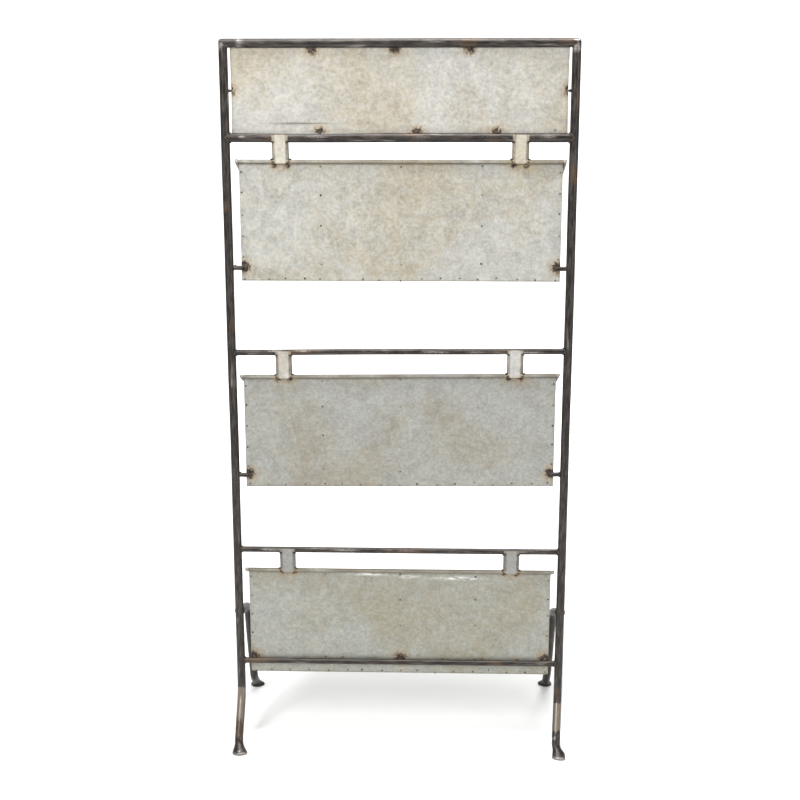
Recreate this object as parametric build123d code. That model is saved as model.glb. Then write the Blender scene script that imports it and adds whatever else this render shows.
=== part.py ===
from build123d import *

import math
import os

# A free-standing welded brochure rack. The pockets open towards +Y, the customer's side, and
# the uprights stand at the back. +X is to the right when the back is looked at, +Z is up, the
# origin is on the floor under the middle of the rack's outline. All lengths are in millimetres.

# Frame
RACK_HEIGHT = 1566.0
UPRIGHT_SPACING = 730.0        # centre to centre
TUBE_RADIUS = 9.5
TUBE_WALL = 2.0
ROD_RADIUS = 6.35
SIGN_RAIL_Z = 1365.5
MIDDLE_BAR_Z = 910.5
LOWER_BAR_Z = 456.5
FOOT_BAR_Z = 187.0
FRAME_Y = -100.5               # the plane of the uprights, behind the middle of the outline

# Rear feet: the uprights bend back, then stand on a bell-shaped forged pad
REAR_BEND_Z = 107.0
REAR_KNEE_BACK = 65.0
REAR_KNEE_Z = 27.0
REAR_BEND_RADIUS = 70.0
REAR_KNEE_RADIUS = 20.0
REAR_PAD_BACK = 91.0
LEFT_KNEE_INSET = 1.0
RIGHT_KNEE_INSET = 8.0         # the right shank leans in, and its pad turns out again
LEFT_PAD_INSET = 5.5
RIGHT_PAD_INSET = 2.4
PAD_HALF_WIDTH = 16.5
PAD_HALF_LENGTH = 12.0
PAD_THICKNESS = 5.0
FOOT_NECK_Z = 18.0
FLARE_WAIST = 1.0              # the flare is this much slimmer than a straight cone at mid-height
REAR_BORE_SHARE = 0.6          # share of the shank that is still hollow

# Front legs: forward from the upright, round an elbow, then down and forward; the right one
# reaches further than the left
LEG_ROOT_Z = 316.0
ELBOW_Z = 258.0
ELBOW_FORWARD = 146.0
ELBOW_RADIUS = 42.0
LEFT_ANKLE_FORWARD = 211.0
RIGHT_ANKLE_FORWARD = 254.0
ANKLE_Z = 48.0
ANKLE_RADIUS = 60.0
LEFT_PAD_FORWARD = 264.0
RIGHT_PAD_FORWARD = 287.0
FRONT_PAD_OUTSET = 1.0
FRONT_PAD_HALF_LENGTH = 17.0
FRONT_NECK_BACK = 14.0         # from the middle of the pad back to the neck
FRONT_NECK_Z = 20.0
FRONT_NECK_SHIFT = 4.0
FRONT_BORE_SHARE = 0.8

# Sign panel
SIGN_WIDTH = 702.0
SHEET = 1.0
TACK_RADIUS = 3.4
TOP_TACKS_X = (-180.0, -9.0, 145.0)
BOTTOM_TACKS_X = (-166.0, 37.0, 204.0)

# Pockets
POCKET_WIDTH = 684.0
POCKET_HEIGHT = 257.0
POCKET_RIM_Z = {"upper": 1316.3, "middle": 857.7, "lower": 410.3}    # centre of the rear rim
RIM_RADIUS = 4.3
WIRE_RADIUS = 3.2
RIM_DEPTH = 180.0              # rear rim to front rim
RIM_DROP = 69.0                # the front rim is this much lower
FLOOR_DEPTH = 124.0
COMPARTMENTS = 4
FLANGE = 12.0
FLANGE_GAP = 1.0               # between flanges that would meet in a corner
RIM_TRIM = 1.2                 # rear and front rims stop short of the end rims
END_RIM_TRIM = 0.6             # the end rims stop this much short of the corner's outside
DIVIDER_DROP = 10.0            # dividers stay this far below the end rims
DIVIDER_GAP = 0.4              # and this far behind the sloped front
DIVIDER_FLANGE_DROP = 14.0

# Hangers: folded straps between the rail and the rear rim
HANGER_X = 252.0
HANGER_WEB = 22.0
HANGER_SPREAD = 6.5
HANGER_DEPTH = 7.0
HANGER_OVERLAP_TUBE = 6.4      # how far the strap climbs past the centre of the sign rail
HANGER_OVERLAP_ROD = 3.4
HANGER_BITE = 0.8              # how deep the strap's lower end sits into the top of the rim

# Stub rods at the lower corners
STUB_RADIUS = 5.0
STUB_RISE = 28.0
STUB_LAP = 8.0

# Spot welds
SPOT_RADIUS = 1.9
SPOT_HEIGHT = 0.4
SPOT_DROPS = (9.0, 70.0, 132.0, 206.0)
SPOT_MARGIN = 5.0
SPOT_PITCH = 42.0
SPOT_SHIFT = 2.0

# Welds
WELD_RADIUS = 3.2
COLLAR = 2.9                   # height of a fillet weld round a bar's end
COLLAR_EDGE = 1.1
LEG_COLLAR_START = 4.6
LOW_BEAD_OUT = 0.5             # beads at the foot of a strap sit just outside its folded edges
LOW_BEAD_BACK = 1.0
HIGH_BEAD_IN = 2.5             # beads under the bar sit behind the folded edges
HIGH_BEAD_BACK = 0.6           # shares of the bar's radius
HIGH_BEAD_DROP = 0.9
STUB_BEAD_BACK = 1.5
STUB_BEAD_PAST = 1.1           # the inner bead sits just past the end of the stub
STUB_BEAD_OUT = 0.7
BEAD_TURN = (20.0, 35.0, 15.0)                 # keeps a bead's seam line off its neighbours
TACK_TURN = (50.0, 35.0, 15.0)

# Derived sizes
UPRIGHT_X = UPRIGHT_SPACING / 2
TOP_RAIL_Z = RACK_HEIGHT - TUBE_RADIUS
BORE_RADIUS = TUBE_RADIUS - TUBE_WALL
PANEL_BACK_Y = FRAME_Y + ROD_RADIUS            # rear face of every pocket's back panel
PANEL_FRONT_Y = PANEL_BACK_Y + SHEET
RIM_INNER = RIM_RADIUS - SHEET
REAR_RIM_Y = PANEL_FRONT_Y - RIM_RADIUS
FRONT_RIM_Y = REAR_RIM_Y + RIM_DEPTH
HALF_WIDTH = POCKET_WIDTH / 2
CUT = 60.0                                     # big enough to pass through any tube
OPEN_SECTOR = 60.0                             # the part of a rolled rim left open, in degrees


def save(shape, node):
    """Write one node to its own STEP file."""
    shape.label = node
    export_step(shape, f"parts/{node}.step")


def group(solids):
    """Keep separate solids together in one node."""
    return Compound(children=list(solids))


def outline(points):
    """A closed flat outline, always drawn anticlockwise so that it extrudes the same way."""
    pairs = list(zip(points, points[1:] + points[:1]))
    area = sum(a[0] * b[1] - b[0] * a[1] for a, b in pairs)
    ordered = points if area > 0 else points[::-1]
    return Polygon(*ordered, align=None)


def cylinder_x(radius, x_from, x_to, y, z):
    """A rod along X."""
    disc = Plane(origin=(x_from, y, z), x_dir=(0, 1, 0), z_dir=(1, 0, 0)) * Circle(radius)
    return extrude(disc, amount=x_to - x_from)


def cylinder_z(radius, x, y, z_from, z_to):
    """A rod along Z."""
    disc = Plane(origin=(x, y, z_from)) * Circle(radius)
    return extrude(disc, amount=z_to - z_from)


def block(x_range, y_range, z_range):
    """A box between three pairs of limits."""
    size = [limits[1] - limits[0] for limits in (x_range, y_range, z_range)]
    centre = [(limits[1] + limits[0]) / 2 for limits in (x_range, y_range, z_range)]
    return Pos(*centre) * Box(*size)


def round_sweep(radius, points, radii):
    """A round bar along straight runs joined by arcs."""
    path = FilletPolyline(*points, radius=radii)
    start = Plane(origin=points[0], z_dir=Vector(*points[1]) - Vector(*points[0]))
    return sweep(start * Circle(radius), path=path)


def bell_foot(neck, pad_x, pad_y, half_length):
    """The forged end of a leg: round at the neck, flared to an oval pad on the floor."""
    neck_x, neck_y, neck_z = neck
    middle_z = (neck_z + PAD_THICKNESS) / 2
    sections = [
        Plane(origin=(neck_x, neck_y, neck_z)) * Circle(TUBE_RADIUS),
        Plane(origin=((neck_x + pad_x) / 2, (neck_y + pad_y) / 2, middle_z))
        * Ellipse((TUBE_RADIUS + PAD_HALF_WIDTH) / 2 - FLARE_WAIST, (TUBE_RADIUS + half_length) / 2),
        Plane(origin=(pad_x, pad_y, PAD_THICKNESS)) * Ellipse(PAD_HALF_WIDTH, half_length),
    ]
    neck_solid = loft(sections)
    pad = extrude(Plane(origin=(pad_x, pad_y, 0)) * Ellipse(PAD_HALF_WIDTH, half_length), PAD_THICKNESS)
    return neck_solid + pad


def mitre_tool(side, keep_upright):
    """The waste beyond the 45 degree cut at one top corner, for the upright or for the top rail."""
    x = side * UPRIGHT_X
    reach = side * CUT
    waste = -1 if keep_upright else 1
    corners = [
        (x + reach, TOP_RAIL_Z + CUT),
        (x - reach, TOP_RAIL_Z - CUT),
        (x + waste * reach, TOP_RAIL_Z - waste * CUT),
    ]
    plane = Plane(origin=(0, FRAME_Y, 0), x_dir=(1, 0, 0), z_dir=(0, -1, 0))
    return extrude(plane * outline(corners), amount=CUT / 2, both=True)


def upright(side, knee_inset, pad_inset):
    """One upright: mitred at the top, bent back and forged into a foot at the bottom."""
    x = side * UPRIGHT_X
    knee_x = x - side * knee_inset
    pad_x = x - side * pad_inset
    knee_y = FRAME_Y - REAR_KNEE_BACK
    pad_y = FRAME_Y - REAR_PAD_BACK
    top = (x, FRAME_Y, TOP_RAIL_Z + CUT / 2)
    bend = (x, FRAME_Y, REAR_BEND_Z)
    knee = (knee_x, knee_y, REAR_KNEE_Z)
    neck = (knee_x, knee_y, FOOT_NECK_Z)
    neck_overlap = (knee_x, knee_y, PAD_THICKNESS)
    outer = round_sweep(TUBE_RADIUS, [top, bend, knee, neck_overlap], [REAR_BEND_RADIUS, REAR_KNEE_RADIUS])
    outer = outer - block((x - 2 * CUT, x + 2 * CUT), (knee_y - CUT, knee_y + CUT), (-CUT, FOOT_NECK_Z))
    bore_end = tuple(b + (k - b) * REAR_BORE_SHARE for b, k in zip(bend, knee))
    bore = round_sweep(BORE_RADIUS, [top, bend, bore_end], [REAR_BEND_RADIUS])
    foot = bell_foot(neck, pad_x, pad_y, PAD_HALF_LENGTH)
    return outer + foot - bore - mitre_tool(side, True)


def top_rail():
    """The top tube, mitred at both ends."""
    rail = cylinder_x(TUBE_RADIUS, -UPRIGHT_X - CUT / 2, UPRIGHT_X + CUT / 2, FRAME_Y, TOP_RAIL_Z)
    rail -= cylinder_x(BORE_RADIUS, -UPRIGHT_X - CUT, UPRIGHT_X + CUT, FRAME_Y, TOP_RAIL_Z)
    for side in (-1, 1):
        rail -= mitre_tool(side, False)
    return rail


def upright_envelope(side):
    """The straight part of an upright as a full rod, for coping bars against it."""
    return cylinder_z(TUBE_RADIUS, side * UPRIGHT_X, FRAME_Y, REAR_BEND_Z, RACK_HEIGHT)


def coped_bar(radius, bore, z):
    """A bar between the uprights, shaped to their round sides."""
    bar = cylinder_x(radius, -UPRIGHT_X, UPRIGHT_X, FRAME_Y, z)
    if bore:
        bar -= cylinder_x(bore, -UPRIGHT_X - 1, UPRIGHT_X + 1, FRAME_Y, z)
    for side in (-1, 1):
        bar -= upright_envelope(side)
    return bar


def front_leg(side, ankle_forward, pad_forward):
    """One front leg: forward, round the elbow and down to its forged foot."""
    x = side * UPRIGHT_X
    pad_x = x + side * FRONT_PAD_OUTSET
    root = (x, FRAME_Y, LEG_ROOT_Z)
    elbow = (x, FRAME_Y + ELBOW_FORWARD, ELBOW_Z)
    ankle = (x, FRAME_Y + ankle_forward, ANKLE_Z)
    neck_y = FRAME_Y + pad_forward - FRONT_NECK_BACK
    toe = (x, neck_y, PAD_THICKNESS)
    bar = round_sweep(TUBE_RADIUS, [root, elbow, ankle, toe], [ELBOW_RADIUS, ANKLE_RADIUS])
    bar -= block((x - CUT, x + CUT), (neck_y - CUT, neck_y + CUT), (-CUT, FRONT_NECK_Z))
    bore_end = tuple(e + (a - e) * FRONT_BORE_SHARE for e, a in zip(elbow, ankle))
    bore = round_sweep(BORE_RADIUS, [root, elbow, bore_end], [ELBOW_RADIUS])
    neck = (x, neck_y - FRONT_NECK_SHIFT, FRONT_NECK_Z)
    foot = bell_foot(neck, pad_x, FRAME_Y + pad_forward, FRONT_PAD_HALF_LENGTH)
    return bar + foot - bore - upright_envelope(side)


def weld_collar(radius, x, side, z):
    """A fillet of weld where a bar meets the upright."""
    start = Plane(origin=(x, FRAME_Y, z), x_dir=(0, 1, 0), z_dir=(-side, 0, 0))
    far = start.offset(TUBE_RADIUS + COLLAR)
    flare = loft([start * Circle(radius + COLLAR), far * Circle(radius + COLLAR_EDGE)])
    return flare - cylinder_x(radius, x - CUT, x + CUT, FRAME_Y, z) - upright_envelope(side)


def bar_welds(radius, z):
    """Weld fillets at both ends of one crossbar."""
    return group([weld_collar(radius, side * UPRIGHT_X, side, z) for side in (-1, 1)])


def leg_weld(side):
    """A fillet of weld where a front leg leaves the upright."""
    x = side * UPRIGHT_X
    slope = (0, ELBOW_FORWARD, ELBOW_Z - LEG_ROOT_Z)
    root = Plane(origin=(x, FRAME_Y, LEG_ROOT_Z), x_dir=(1, 0, 0), z_dir=slope)
    near = root.offset(LEG_COLLAR_START)
    far = root.offset(LEG_COLLAR_START + TUBE_RADIUS + COLLAR)
    flare = loft([near * Circle(TUBE_RADIUS + COLLAR), far * Circle(TUBE_RADIUS + COLLAR_EDGE)])
    core = extrude(root * Circle(TUBE_RADIUS), amount=CUT)
    return flare - core - upright_envelope(side)


def sign_panel():
    """The flat sheet in the top window."""
    low = SIGN_RAIL_Z + TUBE_RADIUS
    high = TOP_RAIL_Z - TUBE_RADIUS
    return block((-SIGN_WIDTH / 2, SIGN_WIDTH / 2), (FRAME_Y - SHEET / 2, FRAME_Y + SHEET / 2), (low, high))


def sign_tacks(neighbours):
    """Small tack welds that hold the sign panel in its window."""
    low = SIGN_RAIL_Z + TUBE_RADIUS
    high = TOP_RAIL_Z - TUBE_RADIUS
    middle = (low + high) / 2
    side_x = (SIGN_WIDTH / 2 + UPRIGHT_X - TUBE_RADIUS) / 2
    spots = [(x, high) for x in TOP_TACKS_X]
    spots += [(x, low) for x in BOTTOM_TACKS_X]
    spots += [(-side_x, middle), (side_x, middle)]
    places = [(x, FRAME_Y - SHEET, z) for x, z in spots]
    return group([bead(place, TACK_RADIUS, neighbours, TACK_TURN) for place in places])


def biggest(shape):
    """The largest solid of a cut shape."""
    return max(shape.solids(), key=lambda solid: solid.volume)


def rolled_rim(open_from):
    """The section of a rolled rim about its own centre; open_from is where the gap starts."""
    reach = 2 * RIM_RADIUS
    corners = [(0.0, 0.0)]
    for step in range(3):
        angle = math.radians(open_from + step * OPEN_SECTOR / 2)
        corners.append((reach * math.cos(angle), reach * math.sin(angle)))
    return Circle(RIM_RADIUS) - Circle(RIM_INNER) - outline(corners)


def pocket_floor_z(rim_z):
    """The underside of a pocket."""
    return rim_z + RIM_RADIUS - POCKET_HEIGHT


def front_line(rim_z):
    """The inner face of the sloped front: its foot, its top, and its outward normal, in Y and Z."""
    foot = Vector(PANEL_FRONT_Y + FLOOR_DEPTH, pocket_floor_z(rim_z), 0)
    rim = Vector(FRONT_RIM_Y, rim_z - RIM_DROP, 0)
    chord = rim - foot
    lean = math.asin(RIM_RADIUS / chord.length)
    along = chord.normalized().rotate(Axis.Z, math.degrees(lean))
    normal = Vector(along.Y, -along.X, 0)
    return foot, rim - normal * RIM_RADIUS, normal


def extrude_x(section, x_from, x_to):
    """Carry a YZ section along X."""
    return extrude(Plane.YZ.offset(x_from) * section, amount=x_to - x_from)


def pocket_back(rim_z):
    """Back panel with its rim rolled to the rear."""
    floor_z = pocket_floor_z(rim_z)
    sheet = block((-HALF_WIDTH, HALF_WIDTH), (PANEL_BACK_Y, PANEL_FRONT_Y), (floor_z, rim_z))
    notch_z = rim_z - 2 * RIM_RADIUS - RIM_TRIM
    for side in (-1, 1):
        ends = sorted((side * HALF_WIDTH, side * (HALF_WIDTH - RIM_TRIM)))
        sheet -= block(ends, (PANEL_BACK_Y, PANEL_FRONT_Y), (notch_z, rim_z))
    rim = Pos(REAR_RIM_Y, rim_z) * rolled_rim(300.0)
    return sheet + extrude_x(rim, -HALF_WIDTH + RIM_TRIM, HALF_WIDTH - RIM_TRIM)


def pocket_tray(rim_z):
    """Bottom and sloped front from one sheet, with a rear flange and a rolled front rim."""
    floor_z = pocket_floor_z(rim_z)
    foot, top, normal = front_line(rim_z)
    slope = math.degrees(math.atan2(normal.Y, normal.X))
    floor_top = floor_z + SHEET
    floor = [
        (PANEL_FRONT_Y, floor_z),
        (foot.X + SHEET / 2, floor_z),
        (foot.X + SHEET / 2, floor_top),
        (PANEL_FRONT_Y, floor_top),
    ]
    flange = [
        (PANEL_FRONT_Y, floor_z),
        (PANEL_FRONT_Y + SHEET, floor_z),
        (PANEL_FRONT_Y + SHEET, floor_z + FLANGE),
        (PANEL_FRONT_Y, floor_z + FLANGE),
    ]
    outer_foot = foot + normal * SHEET
    outer_top = top + normal * SHEET
    front = [(p.X, p.Y) for p in (foot, outer_foot, outer_top, top)]
    rim = Pos(FRONT_RIM_Y, rim_z - RIM_DROP) * rolled_rim(slope + 180.0)
    section = outline(floor) + outline(flange) + outline(front)
    inside = HALF_WIDTH - SHEET
    reach = HALF_WIDTH - RIM_TRIM
    return extrude_x(section, -inside, inside) + extrude_x(rim, -reach, reach)


def front_edge(rim_z, height, back_off):
    """Y of the front's inner face at a height, less back_off."""
    foot, top, _ = front_line(rim_z)
    share = (height - foot.Y) / (top.Y - foot.Y)
    return foot.X + share * (top.X - foot.X) - back_off


def rim_slope():
    """Direction of the end rims, from the front up to the rear, and their length."""
    fall = Vector(0, -RIM_DEPTH, RIM_DROP)
    return fall.normalized(), fall.length


def rim_height(rim_z, y):
    """Height of the end rim's centre line at y."""
    return rim_z - RIM_DROP * (y - REAR_RIM_Y) / RIM_DEPTH


def end_rim_plane(side, rim_z):
    """Plane square to an end rim, at its front end, with local y pointing up."""
    direction, _ = rim_slope()
    start = Vector(side * (HALF_WIDTH - SHEET + RIM_RADIUS), FRONT_RIM_Y, rim_z - RIM_DROP)
    start = start - direction * (RIM_RADIUS - END_RIM_TRIM)
    return Plane(origin=start, x_dir=(1, 0, 0), z_dir=direction)


def end_rim_length():
    """Length of an end rim."""
    _, length = rim_slope()
    return length + 2 * (RIM_RADIUS - END_RIM_TRIM)


def pocket_end(side, rim_z):
    """End panel with flanges turned in and its sloping rim rolled out."""
    floor_z = pocket_floor_z(rim_z) + SHEET
    x_outer = side * HALF_WIDTH
    x_inner = side * (HALF_WIDTH - SHEET)
    x_flange = side * (HALF_WIDTH - FLANGE)
    low_y = front_edge(rim_z, floor_z, 0.0)
    foot, top, _ = front_line(rim_z)
    corners = [
        (PANEL_FRONT_Y, floor_z),
        (low_y, floor_z),
        (top.X, top.Y),
        (top.X, rim_height(rim_z, top.X)),
        (PANEL_FRONT_Y, rim_height(rim_z, PANEL_FRONT_Y)),
    ]
    panel = extrude_x(outline(corners), min(x_outer, x_inner), max(x_outer, x_inner))
    wing = (min(x_inner, x_flange), max(x_inner, x_flange))
    rear_rise = (floor_z + FLANGE + FLANGE_GAP, rim_z - FLANGE)
    rear_flange = block(wing, (PANEL_FRONT_Y, PANEL_FRONT_Y + SHEET), rear_rise)
    floor_flange = block(wing, (PANEL_FRONT_Y + FLANGE, low_y - FLANGE), (floor_z, floor_z + SHEET))
    start_angle = 180.0 if side > 0 else 300.0
    rim = extrude(end_rim_plane(side, rim_z) * rolled_rim(start_angle), amount=end_rim_length())
    return panel + rear_flange + floor_flange + rim


def pocket_divider(x, rim_z):
    """Divider with a flange against the back panel and one on the floor."""
    floor_z = pocket_floor_z(rim_z) + SHEET
    front_z = rim_z - RIM_DROP - DIVIDER_DROP
    y_rear = PANEL_FRONT_Y + SHEET
    corners = [
        (y_rear, floor_z),
        (front_edge(rim_z, floor_z, DIVIDER_GAP), floor_z),
        (front_edge(rim_z, front_z, DIVIDER_GAP), front_z),
        (y_rear, rim_height(rim_z, y_rear) - DIVIDER_DROP),
    ]
    plate = extrude_x(outline(corners), x - SHEET / 2, x + SHEET / 2)
    rear_rise = (floor_z + FLANGE + FLANGE_GAP, rim_z - DIVIDER_FLANGE_DROP)
    rear = block((x - SHEET / 2, x + FLANGE), (PANEL_FRONT_Y, y_rear), rear_rise)
    low_y = front_edge(rim_z, floor_z, FLANGE)
    floor = block((x - SHEET / 2, x + FLANGE), (y_rear + FLANGE, low_y), (floor_z, floor_z + SHEET))
    return plate + rear + floor


def divider_places():
    """X of each divider."""
    pitch = POCKET_WIDTH / COMPARTMENTS
    return [-HALF_WIDTH + pitch * number for number in range(1, COMPARTMENTS)]


def rim_wires(rim_z):
    """The four straight wires inside the rolled rims."""
    reach = HALF_WIDTH - RIM_TRIM
    wires = [
        cylinder_x(WIRE_RADIUS, -reach, reach, REAR_RIM_Y, rim_z),
        cylinder_x(WIRE_RADIUS, -reach, reach, FRONT_RIM_Y, rim_z - RIM_DROP),
    ]
    for side in (-1, 1):
        wires.append(extrude(end_rim_plane(side, rim_z) * Circle(WIRE_RADIUS), amount=end_rim_length()))
    return group(wires)


def strap_section(depth):
    """The folded strap seen along its length: local y points forward, away from the viewer of the back."""
    half = HANGER_WEB / 2
    lean = Vector(HANGER_SPREAD, depth, 0).normalized()
    outward = Vector(lean.Y, -lean.X, 0) * SHEET
    section = outline([(-half, 0), (-half, -SHEET), (half, -SHEET), (half, 0)])
    for hand in (-1, 1):
        corners = [
            (half, 0),
            (half, -SHEET),
            (half + outward.X, outward.Y),
            (half + HANGER_SPREAD + outward.X, depth + outward.Y),
            (half + HANGER_SPREAD, depth),
        ]
        section += outline([(hand * x, y) for x, y in corners])
    return section


def hanger(side, rim_z, bar_z, bar_radius, climb):
    """A folded strap from the rear face of the bar above down to the rear rim."""
    top = Vector(side * HANGER_X, FRAME_Y - bar_radius, bar_z)
    bottom = Vector(side * HANGER_X, REAR_RIM_Y - RIM_RADIUS, rim_z)
    rise = (top - bottom).normalized()
    lap = RIM_RADIUS - HANGER_BITE
    plane = Plane(origin=bottom - rise * lap, x_dir=(1, 0, 0), z_dir=rise)
    strap = extrude(plane * strap_section(HANGER_DEPTH), amount=(top - bottom).length + climb + lap)
    bar = cylinder_x(bar_radius, -UPRIGHT_X, UPRIGHT_X, FRAME_Y, bar_z)
    rim = cylinder_x(RIM_RADIUS, -HALF_WIDTH, HALF_WIDTH, REAR_RIM_Y, rim_z)
    return biggest(strap - bar - rim)


def stub(side, z):
    """A short rod from the upright to the lower corner of a back panel."""
    ends = sorted((side * (HALF_WIDTH - STUB_LAP), side * UPRIGHT_X))
    rod = cylinder_x(STUB_RADIUS, ends[0], ends[1], PANEL_BACK_Y - STUB_RADIUS, z)
    return biggest(rod - upright_envelope(side))


def bead(centre, radius, neighbours, turn=BEAD_TURN):
    """One blob of weld, cut to sit on the pieces that it joins."""
    blob = Pos(*centre) * Rot(*turn) * Sphere(radius)
    for shape in neighbours:
        blob = blob - shape
    return biggest(blob)


def hanger_welds(side, rim_z, bar_z, bar_radius, strap):
    """Four beads at the corners of one hanger."""
    wing = HANGER_WEB / 2 + HANGER_SPREAD
    rim = cylinder_x(RIM_RADIUS, -HALF_WIDTH, HALF_WIDTH, REAR_RIM_Y, rim_z)
    bar = cylinder_x(bar_radius, -UPRIGHT_X, UPRIGHT_X, FRAME_Y, bar_z)
    beads = []
    for hand in (-1, 1):
        low_x = side * HANGER_X + hand * (wing + LOW_BEAD_OUT)
        high_x = side * HANGER_X + hand * (wing - HIGH_BEAD_IN)
        low = (low_x, REAR_RIM_Y - LOW_BEAD_BACK, rim_z + RIM_RADIUS)
        high = (high_x, FRAME_Y - bar_radius * HIGH_BEAD_BACK, bar_z - bar_radius * HIGH_BEAD_DROP)
        beads.append(bead(low, WELD_RADIUS, [rim, strap]))
        beads.append(bead(high, WELD_RADIUS, [bar, strap]))
    return beads


def stub_welds(side, z, rod):
    """A bead at each end of a stub rod."""
    panel = block((-HALF_WIDTH, HALF_WIDTH), (PANEL_BACK_Y, PANEL_BACK_Y + CUT), (z - CUT, z + CUT))
    rod_end = HALF_WIDTH - STUB_LAP
    beyond = sorted((side * rod_end, side * HALF_WIDTH))
    outside = block(beyond, (PANEL_BACK_Y - CUT, PANEL_BACK_Y), (z - CUT, z + CUT))
    inner = (side * (rod_end - STUB_BEAD_PAST), PANEL_BACK_Y - STUB_BEAD_BACK, z)
    outer_y = PANEL_BACK_Y - STUB_RADIUS - STUB_BEAD_OUT
    outer = (side * (UPRIGHT_X - TUBE_RADIUS), outer_y, z + STUB_RADIUS)
    return [
        bead(inner, WELD_RADIUS, [panel, outside]),
        bead(outer, WELD_RADIUS, [upright_envelope(side), rod]),
    ]


def spot_welds(rim_z):
    """Spot welds through the back panel: three columns, both sides and the lower edge."""
    floor_z = pocket_floor_z(rim_z)
    places = [(x + SPOT_SHIFT, rim_z - drop) for x in divider_places() for drop in SPOT_DROPS]
    span = POCKET_WIDTH - 2 * SPOT_MARGIN
    count = round(span / SPOT_PITCH)
    places += [(-span / 2 + span * number / count, floor_z + SPOT_MARGIN) for number in range(count + 1)]
    rise = POCKET_HEIGHT - 2 * RIM_RADIUS - 2 * SPOT_MARGIN
    rows = round(rise / SPOT_PITCH)
    for side in (-1, 1):
        places += [(side * span / 2, floor_z + SPOT_MARGIN + rise * row / rows) for row in range(1, rows)]
    spots = []
    for x, z in places:
        disc = Plane(origin=(x, PANEL_BACK_Y, z), x_dir=(1, 0, 0), z_dir=(0, -1, 0)) * Circle(SPOT_RADIUS)
        spots.append(extrude(disc, amount=SPOT_HEIGHT))
    return group(spots)


def build_frame():
    """The welded steel frame and the sign panel."""
    save(upright(-1, LEFT_KNEE_INSET, LEFT_PAD_INSET), "left_upright")
    save(upright(1, RIGHT_KNEE_INSET, RIGHT_PAD_INSET), "right_upright")
    save(top_rail(), "top_rail")
    save(coped_bar(TUBE_RADIUS, BORE_RADIUS, SIGN_RAIL_Z), "sign_rail")
    save(bar_welds(TUBE_RADIUS, SIGN_RAIL_Z), "sign_rail_welds")
    for name, z in (("middle", MIDDLE_BAR_Z), ("lower", LOWER_BAR_Z), ("foot", FOOT_BAR_Z)):
        save(coped_bar(ROD_RADIUS, 0, z), f"{name}_crossbar")
        save(bar_welds(ROD_RADIUS, z), f"{name}_crossbar_welds")
    save(front_leg(-1, LEFT_ANKLE_FORWARD, LEFT_PAD_FORWARD), "left_front_leg")
    save(front_leg(1, RIGHT_ANKLE_FORWARD, RIGHT_PAD_FORWARD), "right_front_leg")
    save(group([leg_weld(side) for side in (-1, 1)]), "front_leg_welds")
    panel = sign_panel()
    save(panel, "sign_panel")
    rods = [cylinder_x(TUBE_RADIUS, -UPRIGHT_X, UPRIGHT_X, FRAME_Y, z) for z in (SIGN_RAIL_Z, TOP_RAIL_Z)]
    save(sign_tacks([panel, *rods, upright_envelope(-1), upright_envelope(1)]), "sign_tack_welds")


def build_pocket(level, bar_z, bar_radius, climb, tied):
    """One pocket with its hangers, and its stub rods where it is tied to the uprights."""
    rim_z = POCKET_RIM_Z[level]
    save(pocket_back(rim_z), f"{level}_pocket_back")
    save(pocket_tray(rim_z), f"{level}_pocket_tray")
    for number, x in enumerate(divider_places(), start=1):
        save(pocket_divider(x, rim_z), f"{level}_divider_{number}")
    save(rim_wires(rim_z), f"{level}_rim_wires")
    save(spot_welds(rim_z), f"{level}_spot_welds")
    welds = []
    for side, hand in ((-1, "left"), (1, "right")):
        save(pocket_end(side, rim_z), f"{level}_pocket_{hand}_end")
        strap = hanger(side, rim_z, bar_z, bar_radius, climb)
        save(strap, f"{level}_{hand}_hanger")
        welds += hanger_welds(side, rim_z, bar_z, bar_radius, strap)
        if tied:
            stub_z = pocket_floor_z(rim_z) + STUB_RISE
            rod = stub(side, stub_z)
            save(rod, f"{level}_{hand}_stub")
            welds += stub_welds(side, stub_z, rod)
    save(group(welds), f"{level}_pocket_welds")


os.makedirs("parts", exist_ok=True)
build_frame()
build_pocket("upper", SIGN_RAIL_Z, TUBE_RADIUS, HANGER_OVERLAP_TUBE, True)
build_pocket("middle", MIDDLE_BAR_Z, ROD_RADIUS, HANGER_OVERLAP_ROD, True)
build_pocket("lower", LOWER_BAR_Z, ROD_RADIUS, HANGER_OVERLAP_ROD, False)
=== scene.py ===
"""Looks of a welded brochure rack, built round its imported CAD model.

A forged tube frame carries a sign panel and three galvanised sheet pockets, which hang from crossbars
on folded straps. Every surface is a grid of points worked out with numpy. Lengths are in metres, +Z is
up, and the pockets open towards +Y.
"""

from __future__ import annotations

import logging
import math
from collections.abc import Sequence
from dataclasses import dataclass, field
from enum import Enum

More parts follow.
